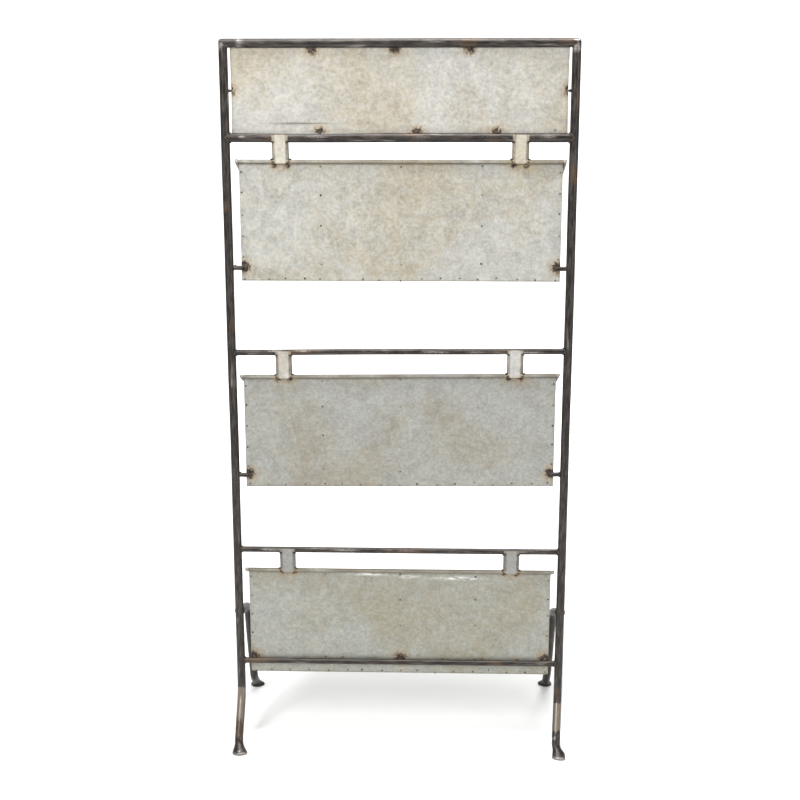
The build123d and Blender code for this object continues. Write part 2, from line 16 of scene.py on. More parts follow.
import bpy
import numpy as np
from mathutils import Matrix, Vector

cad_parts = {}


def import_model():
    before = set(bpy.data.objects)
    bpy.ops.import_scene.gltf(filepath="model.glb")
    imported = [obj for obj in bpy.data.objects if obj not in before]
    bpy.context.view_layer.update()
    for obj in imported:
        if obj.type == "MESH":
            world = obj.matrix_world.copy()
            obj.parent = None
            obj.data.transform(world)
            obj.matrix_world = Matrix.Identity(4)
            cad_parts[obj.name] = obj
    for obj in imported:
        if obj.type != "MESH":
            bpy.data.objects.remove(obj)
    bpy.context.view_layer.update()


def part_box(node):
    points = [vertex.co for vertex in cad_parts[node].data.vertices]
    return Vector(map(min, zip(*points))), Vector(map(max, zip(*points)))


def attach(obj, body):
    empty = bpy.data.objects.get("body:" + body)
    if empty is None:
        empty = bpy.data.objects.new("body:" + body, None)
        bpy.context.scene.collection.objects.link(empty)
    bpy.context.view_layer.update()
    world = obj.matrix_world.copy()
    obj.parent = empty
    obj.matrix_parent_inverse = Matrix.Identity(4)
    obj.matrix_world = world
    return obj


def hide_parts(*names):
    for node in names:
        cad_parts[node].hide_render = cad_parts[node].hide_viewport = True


LOG = logging.getLogger("brochure_rack")
Array = np.ndarray
Color = tuple[float, float, float]
Point = tuple[float, float, float]
MARKS = ("burn", "soot_and_shade", "pale", "grime", "ground")
SHARP_ANGLE = math.radians(38.0)
BLOB_POLE = 0.12
UP = np.array([0.0, 0.0, 1.0])
EAST = np.array([1.0, 0.0, 0.0])
NORTH = np.array([0.0, 1.0, 0.0])


class Level(Enum):
    """The three pockets."""

    UPPER = "upper"
    MIDDLE = "middle"
    LOWER = "lower"


class Side(Enum):
    """The two ends of the rack; the value is the sign of X."""

    LEFT = -1
    RIGHT = 1

    @property
    def word(self) -> str:
        """The side's name in lower case."""
        return self.name.lower()


class Lie(Enum):
    """The direction that a bar runs in, which its drawn scale follows."""

    ACROSS = "across"
    UPRIGHT = "upright"


# ---------------------------------------------------------------------------------------------
# Surfaces
# ---------------------------------------------------------------------------------------------


def ripple(points: Array, wavelength: float, seed: int) -> Array:
    """Smooth random waves: the mean of eight sines, each along a random direction.

    Args:
        points: Positions, with the last axis holding X, Y and Z.
        wavelength: Typical length of one wave.
        seed: Chooses the directions and phases.

    Returns:
        One value per point, mostly from -1 to 1.
    """
    draw = np.random.default_rng(1000 + seed)
    total = np.zeros(points.shape[:-1])
    for _ in range(8):
        way = draw.normal(size=3)
        way *= draw.uniform(0.7, 1.4) / np.linalg.norm(way)
        total += np.sin(points @ way * (2 * math.pi / wavelength) + draw.uniform(0, 2 * math.pi))
    return total / 3.2


def glow(points: Array, centre: Sequence[float], reach: Sequence[float] | float) -> Array:
    """A soft spot: exp of minus the squared distance from a centre, measured in reaches.

    Args:
        points: Positions.
        centre: Middle of the spot.
        reach: Distance at which the spot has faded to a third, one value or one per axis.

    Returns:
        One value per point, from 0 to 1.
    """
    gap = (points - np.asarray(centre)) / np.asarray(reach)
    return np.exp(-np.sum(gap * gap, axis=-1))


def smooth(value: Array, low: float, high: float) -> Array:
    """A smooth step from 0 below low to 1 above high."""
    t = np.clip((value - low) / (high - low), 0.0, 1.0)
    return t * t * (3 - 2 * t)


def rounded_path(corners: Sequence[Point], radii: Sequence[float], step: float) -> Array:
    """Straight runs joined by arcs, with points no further apart than a step.

    Each inner corner is cut back by radius times the tangent of half its turn, and the arc's points are
    centre plus radius times (cosine, sine) in the corner's plane.

    Args:
        corners: The route's corners.
        radii: One radius per inner corner.
        step: Largest gap between points.

    Returns:
        Points along the route, one per row.
    """
    knots = [np.asarray(c, float) for c in corners]
    legs: list[Array] = []
    start = knots[0]
    for before, corner, after, radius in zip(knots, knots[1:], knots[2:], radii):
        come = (corner - before) / np.linalg.norm(corner - before)
        leave = (after - corner) / np.linalg.norm(after - corner)
        turn = math.acos(float(np.clip(come @ leave, -1, 1)))
        cut = radius * math.tan(turn / 2)
        inward = leave - come * (come @ leave)
        inward /= np.linalg.norm(inward)
        enter = corner - come * cut
        centre = enter + inward * radius
        count = max(3, int(radius * turn / step) + 2)
        angle = np.linspace(0, turn, count)[:, None]
        legs.append(run_of(start, enter, step)[:-1])
        legs.append(centre - inward * radius * np.cos(angle) + come * radius * np.sin(angle))
        start = legs[-1][-1]
        legs[-1] = legs[-1][:-1]
    legs.append(run_of(start, knots[-1], step))
    return np.vstack(legs)


def run_of(start: Array, end: Array, step: float) -> Array:
    """Evenly spaced points on a straight line, both ends included."""
    count = max(2, int(np.linalg.norm(end - start) / step) + 2)
    return start + (end - start) * np.linspace(0, 1, count)[:, None]


def tangents(path: Array) -> Array:
    """Unit direction of a path at each of its points."""
    way = np.gradient(path, axis=0)
    return way / np.linalg.norm(way, axis=1, keepdims=True)


def rings(path: Array, side: Array, half_wide: Array, half_deep: Array, turns: int) -> Array:
    """Ellipses square to a path: centre + wide * cos(a) * side + deep * sin(a) * (tangent x side).

    Args:
        path: Centres, one per row.
        side: The direction that the wide axis follows, roughly square to the path.
        half_wide: Half the width at each centre.
        half_deep: Half the depth at each centre.
        turns: Number of points round each ellipse.

    Returns:
        Points with shape (centres, turns, 3).
    """
    along = tangents(path)
    wide = side - along * (along @ side)[:, None]
    wide /= np.linalg.norm(wide, axis=1, keepdims=True)
    deep = np.cross(along, wide)
    angle = np.linspace(0, 2 * math.pi, turns, endpoint=False)[None, :, None]
    out = half_wide[:, None, None] * np.cos(angle) * wide[:, None, :]
    up = half_deep[:, None, None] * np.sin(angle) * deep[:, None, :]
    return path[:, None, :] + out + up


class Skin:
    """Collects closed surfaces into one mesh, each with its marks for the finish."""

    def __init__(self) -> None:
        """Start with nothing."""
        self.points: list[Array] = []
        self.faces: list[list[int]] = []
        self.marks: dict[str, list[Array]] = {name: [] for name in MARKS}
        self.count = 0

    def _take(self, points: Array, faces: list[Array], marks: dict[str, Array]) -> None:
        """Add one closed surface, turned so that its faces point out.

        Args:
            points: Positions, one per row.
            faces: Arrays of point numbers, three or four to a face.
            marks: Values per point for some of the marks.
        """
        volume = 0.0
        for block in faces:
            for k in range(1, block.shape[1] - 1):
                a, b, c = points[block[:, 0]], points[block[:, k]], points[block[:, k + 1]]
                volume += float(np.sum(a * np.cross(b, c)))
        for block in faces:
            turned = block if volume > 0 else block[:, ::-1]
            self.faces.extend((turned + self.count).tolist())
        self.points.append(points)
        for name in MARKS:
            self.marks[name].append(marks.get(name, np.zeros(len(points))))
        self.count += len(points)

    def add_tube(self, grid: Array, marks: dict[str, Array] | None = None, ring: bool = False) -> None:
        """Add a surface whose columns wrap round, with its ends capped, or joined to each other.

        Args:
            grid: Points with shape (rows, columns, 3).
            marks: Values with shape (rows, columns).
            ring: True if the last row joins the first, as on a torus.
        """
        rows, columns, _ = grid.shape
        index = np.arange(rows * columns).reshape(rows, columns)
        across = np.roll(index, -1, axis=1)
        below = np.roll(index, -1, axis=0)
        keep = slice(None) if ring else slice(0, rows - 1)
        quads = np.stack([index, across, np.roll(below, -1, axis=1), below], -1)[keep].reshape(-1, 4)
        points = grid.reshape(-1, 3)
        values = {name: value.reshape(-1) for name, value in (marks or {}).items()}
        faces = [quads]
        if not ring:
            tips = np.stack([grid[0].mean(0), grid[-1].mean(0)])
            points = np.vstack([points, tips])
            head, tail = rows * columns, rows * columns + 1
            faces.append(np.stack([across[0], index[0], np.full(columns, head)], -1))
            faces.append(np.stack([index[-1], across[-1], np.full(columns, tail)], -1))
            for name, value in values.items():
                ends = value.reshape(rows, columns)
                values[name] = np.concatenate([value, [ends[0].mean(), ends[-1].mean()]])
        self._take(points, faces, values)

    def add_slab(
        self, centre: Array, normal: Array, thickness: float, marks: dict[str, Array] | None = None
    ) -> None:
        """Add a sheet: centre plus and minus half its thickness along its normal, with closed edges.

        Args:
            centre: Points of the middle surface, with shape (rows, columns, 3).
            normal: Unit normals that broadcast to the same shape.
            thickness: The sheet's thickness.
            marks: Values with shape (rows, columns), the same on both faces.
        """
        rows, columns, _ = centre.shape
        offset = np.broadcast_to(normal, centre.shape) * thickness / 2
        size = rows * columns
        index = np.arange(size).reshape(rows, columns)
        grid = np.stack([index[:-1, :-1], index[:-1, 1:], index[1:, 1:], index[1:, :-1]], -1).reshape(-1, 4)
        border = np.concatenate([index[0, :-1], index[:-1, -1], index[-1, :0:-1], index[:0:-1, 0]])
        after = np.roll(border, -1)
        walls = np.stack([after, border, border + size, after + size], -1)
        points = np.vstack([(centre + offset).reshape(-1, 3), (centre - offset).reshape(-1, 3)])
        values = {name: np.tile(value.reshape(-1), 2) for name, value in (marks or {}).items()}
        self._take(points, [grid, grid[:, ::-1] + size, walls], values)

    def build(
        self, name: str, finish: bpy.types.Material, slot: str, replaced: Sequence[str]
    ) -> bpy.types.Object:
        """Make the object and place it in the frame.

        Args:
            name: The piece's name.
            finish: Its material.
            slot: Not used.
            replaced: CAD nodes that the piece stands for.

        Returns:
            The new object.
        """
        mesh = bpy.data.meshes.new(name)
        mesh.from_pydata(np.vstack(self.points).tolist(), [], self.faces)
        for mark, values in self.marks.items():
            layer = mesh.attributes.new(mark, "FLOAT", "POINT")
            layer.data.foreach_set("value", np.clip(np.concatenate(values), 0, 1).astype(np.float32))
        mesh.shade_smooth()
        mesh.set_sharp_from_angle(angle=SHARP_ANGLE)
        mesh.materials.append(finish)
        piece = bpy.data.objects.new(name, mesh)
        bpy.context.scene.collection.objects.link(piece)
        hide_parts(*replaced)
        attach(piece, "root")
        LOG.info("%s: %d points, for %s", name, self.count, ", ".join(replaced))
        return piece


def blob(centre: Sequence[float], radii: Sequence[float], seed: int, lump: float = 0.22) -> Array:
    """A lumpy ball of weld: radius = 1 + lump * ripple, stretched to three radii.

    Args:
        centre: Middle of the ball.
        radii: Half sizes along X, Y and Z.
        seed: Chooses the lumps.
        lump: Share of the radius by which the surface rises and falls.

    Returns:
        Points with shape (rows, columns, 3), ready for Skin.add_tube.
    """
    fall = np.linspace(BLOB_POLE, math.pi - BLOB_POLE, 11)
    turn = np.linspace(0, 2 * math.pi, 16, endpoint=False)
    high, round_ = np.meshgrid(fall, turn, indexing="ij")
    ball = np.stack([np.sin(high) * np.cos(round_), np.sin(high) * np.sin(round_), np.cos(high)], -1)
    swell = 1 + lump * ripple(ball, 1.7, seed)
    return np.asarray(centre) + ball * swell[..., None] * np.asarray(radii)


# ---------------------------------------------------------------------------------------------
# Finishes
# ---------------------------------------------------------------------------------------------


class Graph:
    """A short way to write a node tree."""

    def __init__(self, name: str) -> None:
        """Make a material with an empty tree and its shader."""
        self.material = bpy.data.materials.new(name)
        self.material.use_nodes = True
        self.tree = self.material.node_tree
        self.tree.nodes.clear()
        self.shader = self.tree.nodes.new("ShaderNodeBsdfPrincipled")
        output = self.tree.nodes.new("ShaderNodeOutputMaterial")
        self.tree.links.new(self.shader.outputs["BSDF"], output.inputs["Surface"])
        self.place = self.tree.nodes.new("ShaderNodeTexCoord").outputs["Object"]

    def link(self, source: bpy.types.NodeSocket, target: bpy.types.NodeSocket) -> None:
        """Join two sockets."""
        self.tree.links.new(source, target)

    def scaled(
        self, scale: Sequence[float], shift: Sequence[float] = (0, 0, 0)
    ) -> bpy.types.NodeSocket:
        """Object coordinates after a Mapping node.

        Args:
            scale: Scale along each axis.
            shift: Shift along each axis.

        Returns:
            The mapped coordinates.
        """
        node = self.tree.nodes.new("ShaderNodeMapping")
        node.inputs["Scale"].default_value = scale
        node.inputs["Location"].default_value = shift
        self.link(self.place, node.inputs["Vector"])
        return node.outputs["Vector"]

    def noise(
        self,
        where: bpy.types.NodeSocket,
        scale: float,
        detail: float = 3.0,
        rough: float = 0.55,
        warp: float = 0.0,
    ) -> bpy.types.NodeSocket:
        """A noise texture's value.

        Args:
            where: Coordinates to read.
            scale: Number of waves to the metre.
            detail: Number of finer layers.
            rough: Strength of the finer layers.
            warp: Distortion.

        Returns:
            The value, about 0.5 on average.
        """
        node = self.tree.nodes.new("ShaderNodeTexNoise")
        node.inputs["Scale"].default_value = scale
        node.inputs["Detail"].default_value = detail
        node.inputs["Roughness"].default_value = rough
        node.inputs["Distortion"].default_value = warp
        self.link(where, node.inputs["Vector"])
        return node.outputs["Fac"]

    def cells(self, where: bpy.types.NodeSocket, scale: float) -> bpy.types.NodeSocket:
        """One random grey value for each cell of a Voronoi texture.

        Args:
            where: Coordinates to read.
            scale: Number of cells to the metre.

        Returns:
            The value, from 0 to 1.
        """
        node = self.tree.nodes.new("ShaderNodeTexVoronoi")
        node.inputs["Scale"].default_value = scale
        self.link(where, node.inputs["Vector"])
        split = self.tree.nodes.new("ShaderNodeSeparateColor")
        self.link(node.outputs["Color"], split.inputs["Color"])
        return split.outputs["Red"]

    def mark(self, name: str) -> bpy.types.NodeSocket:
        """One of the marks that the surfaces carry.

        Args:
            name: The mark's name.

        Returns:
            The mark's value.
        """
        node = self.tree.nodes.new("ShaderNodeAttribute")
        node.attribute_name = name
        return node.outputs["Fac"]

    def math(self, how: str, left: object, right: object = 0.0, clamp: bool = False) -> bpy.types.NodeSocket:
        """A Math node on two sockets or numbers.

        Args:
            how: The operation.
            left: First socket or number.
            right: Second socket or number.
            clamp: Whether to keep the result from 0 to 1.

        Returns:
            The result.
        """
        node = self.tree.nodes.new("ShaderNodeMath")
        node.operation = how
        node.use_clamp = clamp
        for socket, value in zip(node.inputs, (left, right)):
            if isinstance(value, (int, float)):
                socket.default_value = value
            else:
                self.link(value, socket)
        return node.outputs["Value"]

    def span(
        self, value: bpy.types.NodeSocket, low: float, high: float, to_low: float, to_high: float
    ) -> bpy.types.NodeSocket:
        """A value carried smoothly from one range to another.

        Args:
            value: The value.
            low: Start of its range.
            high: End of its range.
            to_low: Start of the new range.
            to_high: End of the new range.

        Returns:
            The carried value.
        """
        node = self.tree.nodes.new("ShaderNodeMapRange")
        node.interpolation_type = "SMOOTHSTEP"
        for name, number in (("From Min", low), ("From Max", high), ("To Min", to_low), ("To Max", to_high)):
            node.inputs[name].default_value = number
        self.link(value, node.inputs["Value"])
        return node.outputs["Result"]

    def mix(
        self, share: object, first: object, second: object, how: str = "MIX"
    ) -> bpy.types.NodeSocket:
        """A colour mix of two colours or sockets.

        Args:
            share: Share of the second, as a socket or a number.
            first: First colour or socket.
            second: Second colour or socket.
            how: The blend.

        Returns:
            The mixed colour.
        """
        node = self.tree.nodes.new("ShaderNodeMix")
        node.data_type = "RGBA"
        node.blend_type = how
        if isinstance(share, float):
            node.inputs["Factor"].default_value = share
        else:
            self.link(share, node.inputs["Factor"])
        for socket, value in ((node.inputs[6], first), (node.inputs[7], second)):
            if isinstance(value, tuple):
                socket.default_value = (*value, 1.0)
            else:
                self.link(value, socket)
        return node.outputs[2]

    def grey(self, value: bpy.types.NodeSocket) -> bpy.types.NodeSocket:
        """A number as a grey colour.

        Args:
            value: The number.

        Returns:
            The colour.
        """
        node = self.tree.nodes.new("ShaderNodeCombineColor")
        for name in ("Red", "Green", "Blue"):
            self.link(value, node.inputs[name])
        return node.outputs["Color"]

    def bump(self, height: bpy.types.NodeSocket, strength: float, distance: float) -> None:
        """Roughen the shader's normal.

        Args:
            height: The height field.
            strength: Its strength.
            distance: Height of one unit in metres.
        """
        node = self.tree.nodes.new("ShaderNodeBump")
        node.inputs["Strength"].default_value = strength
        node.inputs["Distance"].default_value = distance
        self.link(height, node.inputs["Height"])
        self.link(node.outputs["Normal"], self.shader.inputs["Normal"])

    def heat_over(self, colour: bpy.types.NodeSocket) -> bpy.types.NodeSocket:
        """Lay the straw, brown and black rings of a weld's heat over a colour.

        Args:
            colour: The colour underneath.

        Returns:
            The burnt colour.
        """
        heat = self.mark("burn")
        ragged = self.span(self.noise(self.place, 170.0, 3.0, 0.6), 0.3, 0.7, 0.45, 1.45)
        rough = self.math("MULTIPLY", heat, ragged)
        straw = self.mix(self.span(rough, 0.06, 0.34, 0.0, 0.50), colour, (0.33, 0.24, 0.125))
        brown = self.mix(self.span(rough, 0.30, 0.70, 0.0, 0.85), straw, (0.095, 0.058, 0.036))
        return self.mix(self.span(rough, 0.62, 1.0, 0.0, 0.95), brown, (0.018, 0.015, 0.014))


@dataclass(frozen=True)
class Galvanised:
    """Dull zinc-coated sheet: fine spangle, clouds of tan stain, dark and pale marks, painted shade in the
    folds, crevices and rolled rims, and weld heat.
    """

    name: str
    light: Color = (0.430, 0.425, 0.392)
    stain: Color = (0.370, 0.332, 0.250)
    stain_from: float = 0.40
    stain_to: float = 0.70
    shift: float = 0.0
    metal: float = 0.25
    leaf: float = 0.0

    def make(self) -> bpy.types.Material:
        """Build the material.

        Returns:
            The new material.
        """
        g = Graph(self.name)
        where = g.scaled((1, 1, 1), (self.shift, self.shift, self.shift))
        clouds = g.noise(where, 4.2, 3.0, 0.5, 0.6)
        blotch = g.noise(where, 30.0, 3.0, 0.6, 0.8)
        speck = g.noise(where, 150.0, 3.0, 0.65)
        dust = g.noise(where, 620.0, 2.0)
        grain = g.noise(where, 90.0, 3.0, 0.6, 0.5)
        spangle = g.cells(g.scaled((1, 1, 1.25)), 125.0)
        tan = g.span(clouds, self.stain_from, self.stain_to, 0.0, 0.86)
        warmth = g.math("ADD", tan, g.span(grain, 0.36, 0.64, -0.22, 0.26), True)
        base = g.mix(warmth, self.light, self.stain)
        fine = g.span(speck, 0.36, 0.64, -0.085, 0.085)
        value = g.math("ADD", g.span(blotch, 0.30, 0.70, 0.91, 1.08), fine)
        value = g.math("ADD", value, g.span(spangle, 0.0, 1.0, -0.05, 0.05))
        value = g.math("ADD", value, g.span(dust, 0.30, 0.70, -0.06, 0.06))
        if self.leaf:
            flakes = g.cells(g.scaled((1.0, 1.0, 0.62), (0.02, 0, 0.05)), 78.0)
            split = g.tree.nodes.new("ShaderNodeSeparateXYZ")
            g.link(g.place, split.inputs["Vector"])
            near_edge = g.span(split.outputs["X"], -0.28, -0.10, 1.0, 0.0)
            lift = g.math("MULTIPLY", g.span(flakes, 0.2, 0.8, -self.leaf, self.leaf), near_edge)
            value = g.math("ADD", value, lift)
        # Dark marks: spot-weld dots, scuffs and stains, and painted shade along the creases.
        colour = g.mix(g.span(g.mark("soot_and_shade"), 0.0, 1.0, 0.0, 0.85), base, (0.10, 0.09, 0.075))
        # This mark darkens towards brown: painted shade in the rolled rims, the crevices where sheets meet,
        # the strap wings and the sign's edges.
        colour = g.mix(g.span(g.mark("grime"), 0.0, 1.0, 0.0, 0.9), colour, (0.130, 0.105, 0.068))
        wiped = g.span(g.noise(g.scaled((1, 1, 4)), 60.0, 3.0), 0.35, 0.6, 0.0, 1.0)
        # Pale smears, and a painted highlight beside the creases.
        pale_marks = g.math("MULTIPLY", g.mark("pale"), wiped)
        colour = g.mix(pale_marks, colour, (0.86, 0.86, 0.85))
        colour = g.heat_over(colour)
        toned = g.mix(1.0, colour, g.grey(value), "MULTIPLY")
        g.link(toned, g.shader.inputs["Base Color"])
        g.shader.inputs["Metallic"].default_value = self.metal
        uneven = g.span(blotch, 0.3, 0.7, -0.05, 0.05)
        rough = g.math("ADD", g.span(spangle, 0.0, 1.0, 0.50, 0.62), uneven)
        g.link(rough, g.shader.inputs["Roughness"])
        g.bump(g.math("ADD", speck, g.math("MULTIPLY", dust, 0.35)), 0.16, 0.0006)
        return g.material


@dataclass(frozen=True)
class BareSteel:
    """Dark mill-scaled steel with drawn streaks, rust freckles and bright ground patches."""

    name: str
    lie: Lie
    scale: Color = (0.022, 0.0185, 0.0165)
    wear_and_shade: Color = (0.072, 0.063, 0.056)
    bright: Color = (0.33, 0.305, 0.285)
    sanded: Color = (0.215, 0.180, 0.145)

    def make(self) -> bpy.types.Material:
        """Build the material.

        Returns:
            The new material.
        """
        g = Graph(self.name)
        long_way = (0.16, 1, 1) if self.lie is Lie.ACROSS else (1, 1, 0.16)
        streak_way = (0.10, 1, 1) if self.lie is Lie.ACROSS else (1, 1, 0.10)
        streaks = g.noise(g.scaled(long_way), 190.0, 3.0, 0.6)
        patches = g.noise(g.scaled(streak_way, (0.3, 0.7, 0.1)), 85.0, 3.0, 0.55, 0.3)
        freckles = g.noise(g.place, 420.0, 3.0, 0.6)
        colour = g.mix(g.span(streaks, 0.35, 0.7, 0.0, 1.0), self.scale, self.wear_and_shade)
        colour = g.mix(g.span(freckles, 0.56, 0.74, 0.0, 0.45), colour, (0.085, 0.048, 0.030))
        duller = g.span(patches, 0.44, 0.66, -0.25, 0.0)
        shine = g.math("ADD", g.span(patches, 0.60, 0.74, 0.0, 0.6), duller, True)
        uneven = g.math("MULTIPLY", g.span(freckles, 0.3, 0.7, -0.3, 0.3), g.mark("ground"))
        pale_marks = g.span(g.math("ADD", g.mark("ground"), uneven), 0.25, 0.7, 0.0, 1.0)
        shine = g.math("MAXIMUM", shine, pale_marks)
        colour = g.mix(shine, colour, self.bright)
        colour = g.mix(g.span(g.mark("pale"), 0.1, 0.75, 0.0, 0.95), colour, self.sanded)
        colour = g.mix(g.span(g.mark("soot_and_shade"), 0.0, 1.0, 0.0, 0.9), colour, (0.030, 0.026, 0.024))
        colour = g.mix(g.span(g.mark("grime"), 0.0, 1.0, 0.0, 0.8), colour, (0.115, 0.07, 0.04))
        g.link(colour, g.shader.inputs["Base Color"])
        g.shader.inputs["Metallic"].default_value = 0.60
        gritty = g.math("MULTIPLY", freckles, 0.10)
        rough = g.math("ADD", g.span(streaks, 0.3, 0.7, 0.27, 0.40), gritty)
        g.link(rough, g.shader.inputs["Roughness"])
        g.bump(g.math("ADD", streaks, g.math("MULTIPLY", freckles, 0.6)), 0.30, 0.0005)
        return g.material


@dataclass(frozen=True)
class WeldMetal:
    """Burnt weld: near black with brown and straw tints and a few bright ripples."""

    name: str = "burnt_weld"

    def make(self) -> bpy.types.Material:
        """Build the material.

        Returns:
            The new material.
        """
        g = Graph(self.name)
        tone = g.noise(g.place, 260.0, 3.0, 0.6)
        fine = g.noise(g.place, 900.0, 2.0)
        colour = g.mix(g.span(tone, 0.35, 0.65, 0.0, 1.0), (0.030, 0.024, 0.020), (0.095, 0.070, 0.045))
        colour = g.mix(g.span(fine, 0.60, 0.80, 0.0, 0.55), colour, (0.30, 0.27, 0.22))
        g.link(colour, g.shader.inputs["Base Color"])
        g.shader.inputs["Metallic"].default_value = 0.6
        g.link(g.span(fine, 0.3, 0.7, 0.40, 0.62), g.shader.inputs["Roughness"])
        g.bump(g.math("ADD", tone, g.math("MULTIPLY", fine, 0.5)), 0.5, 0.0008)
        return g.material


@dataclass(frozen=True)
class Paper:
    """The seamless pale floor and wall, which look brighter than the light that they give back."""

    name: str = "pale_paper"
    lift: float = 0.04
    far_lift: float = 0.85

    def make(self) -> bpy.types.Material:
        """Build the material.

        Returns:
            The new material.
        """
        g = Graph(self.name)
        fibre = g.noise(g.place, 300.0, 2.0)
        colour = g.mix(fibre, (0.92, 0.92, 0.92), (0.95, 0.95, 0.95))
        g.link(colour, g.shader.inputs["Base Color"])
        g.shader.inputs["Roughness"].default_value = 0.9
        g.shader.inputs["Emission Color"].default_value = (1.0, 1.0, 1.0, 1.0)
        seen = g.tree.nodes.new("ShaderNodeLightPath").outputs["Is Camera Ray"]
        split = g.tree.nodes.new("ShaderNodeSeparateXYZ")
        g.link(g.place, split.inputs["Vector"])
        away = g.span(split.outputs["Y"], 0.5, 3.0, self.lift, self.far_lift)
        g.link(g.math("ADD", 0.10, g.math("MULTIPLY", seen, away)), g.shader.inputs["Emission Strength"])
        return g.material


SIGN_SHEET = Galvanised(
    "sign_sheet", light=(0.450, 0.442, 0.410), stain=(0.385, 0.345, 0.262), shift=3.1
)
BARS = BareSteel("bare_steel_across", Lie.ACROSS)
POSTS = BareSteel("bare_steel_upright", Lie.UPRIGHT)


@dataclass
class Finishes:
    """The shared finishes of the frame, welds, sign and floor, made once."""

    across: bpy.types.Material = field(default_factory=BARS.make)
    upright: bpy.types.Material = field(default_factory=POSTS.make)
    weld: bpy.types.Material = field(default_factory=WeldMetal().make)
    sign: bpy.types.Material = field(default_factory=SIGN_SHEET.make)
    paper: bpy.types.Material = field(default_factory=Paper().make)


# ---------------------------------------------------------------------------------------------
# Frame
# ---------------------------------------------------------------------------------------------


@dataclass(frozen=True)
class Foot:
    """A forged foot: the tube flares and kicks out into an oval pad.

    The flare's rings go from the tube's own ring to the pad's level ellipse; their share is w, and both
    radii grow as w to the power of flare.
    """

    pad: Point
    half_wide: float
    half_long: float
    thick: float = 0.0048
    flare: float = 1.7
    toe_angle: float = 0.0
    toe: float = 0.12
    heel: float = 0.04

    def rings(self, last: Array, neck: Point, turns: int) -> Array:
        """Rings from the end of the tube down to the floor.

        Args:
            last: The tube's last ring, with shape (turns, 3).
            neck: Centre of that ring.
            turns: Number of points in a ring.

        Returns:
            Points with shape (rings, turns, 3).
        """
        share = np.linspace(0, 1, 15)[1:, None, None]
        arm = last - np.asarray(neck)
        angle = np.arctan2(arm[:, 1], arm[:, 0])
        point_out = self.toe * np.clip(np.cos(angle - self.toe_angle), 0, 1) ** 5
        point_out = point_out + self.heel * np.clip(-np.cos(angle - self.toe_angle), 0, 1) ** 4
        level = np.zeros_like(angle)
        oval = np.stack([self.half_wide * np.cos(angle), self.half_long * np.sin(angle), level], -1)
        oval *= (1 + point_out)[:, None]
        top = np.array([self.pad[0], self.pad[1], self.pad[2] + self.thick])
        drift = np.stack([share**1.25, share**1.25, share], -1)[:, :, 0]
        centre = np.asarray(neck) + (top - np.asarray(neck)) * drift
        grown = arm + (oval - arm) * share**self.flare
        flare = centre + grown * (1 - 0.05 * np.sin(math.pi * share))
        edge = np.array([(1.0, 0.995), (1.03, 0.75), (1.035, 0.45), (1.02, 0.15), (0.97, 0.0), (0.6, 0.0)])
        floor = np.array([self.pad[0], self.pad[1], self.pad[2]])
        band = floor + oval * edge[:, 0, None, None] + UP * (self.thick * edge[:, 1])[:, None, None]
        return np.vstack([flare, band[1:]])


# Bright ground places on each bar as (x, length, strength).
GROUND_PATCHES: dict[str, list[Point]] = {
    "sign_rail": [
        (-0.33, 0.011, 0.9),
        (-0.17, 0.05, 0.7),
        (-0.02, 0.04, 0.5),
        (0.05, 0.03, 0.7),
        (0.19, 0.05, 0.6),
        (0.31, 0.03, 0.8),
    ],
    "middle_crossbar": [
        (-0.27, 0.03, 0.8),
        (-0.21, 0.02, 0.9),
        (0.08, 0.05, 0.9),
        (0.17, 0.03, 0.7),
        (0.28, 0.05, 0.9),
    ],
    "lower_crossbar": [
        (-0.29, 0.04, 0.9),
        (-0.12, 0.05, 0.9),
        (0.02, 0.04, 0.8),
        (0.14, 0.04, 0.6),
        (0.27, 0.03, 0.9),
    ],
    "foot_crossbar": [(-0.32, 0.03, 0.7), (-0.22, 0.04, 0.2), (0.1, 0.05, 0.1), (0.24, 0.05, 0.15)],
}


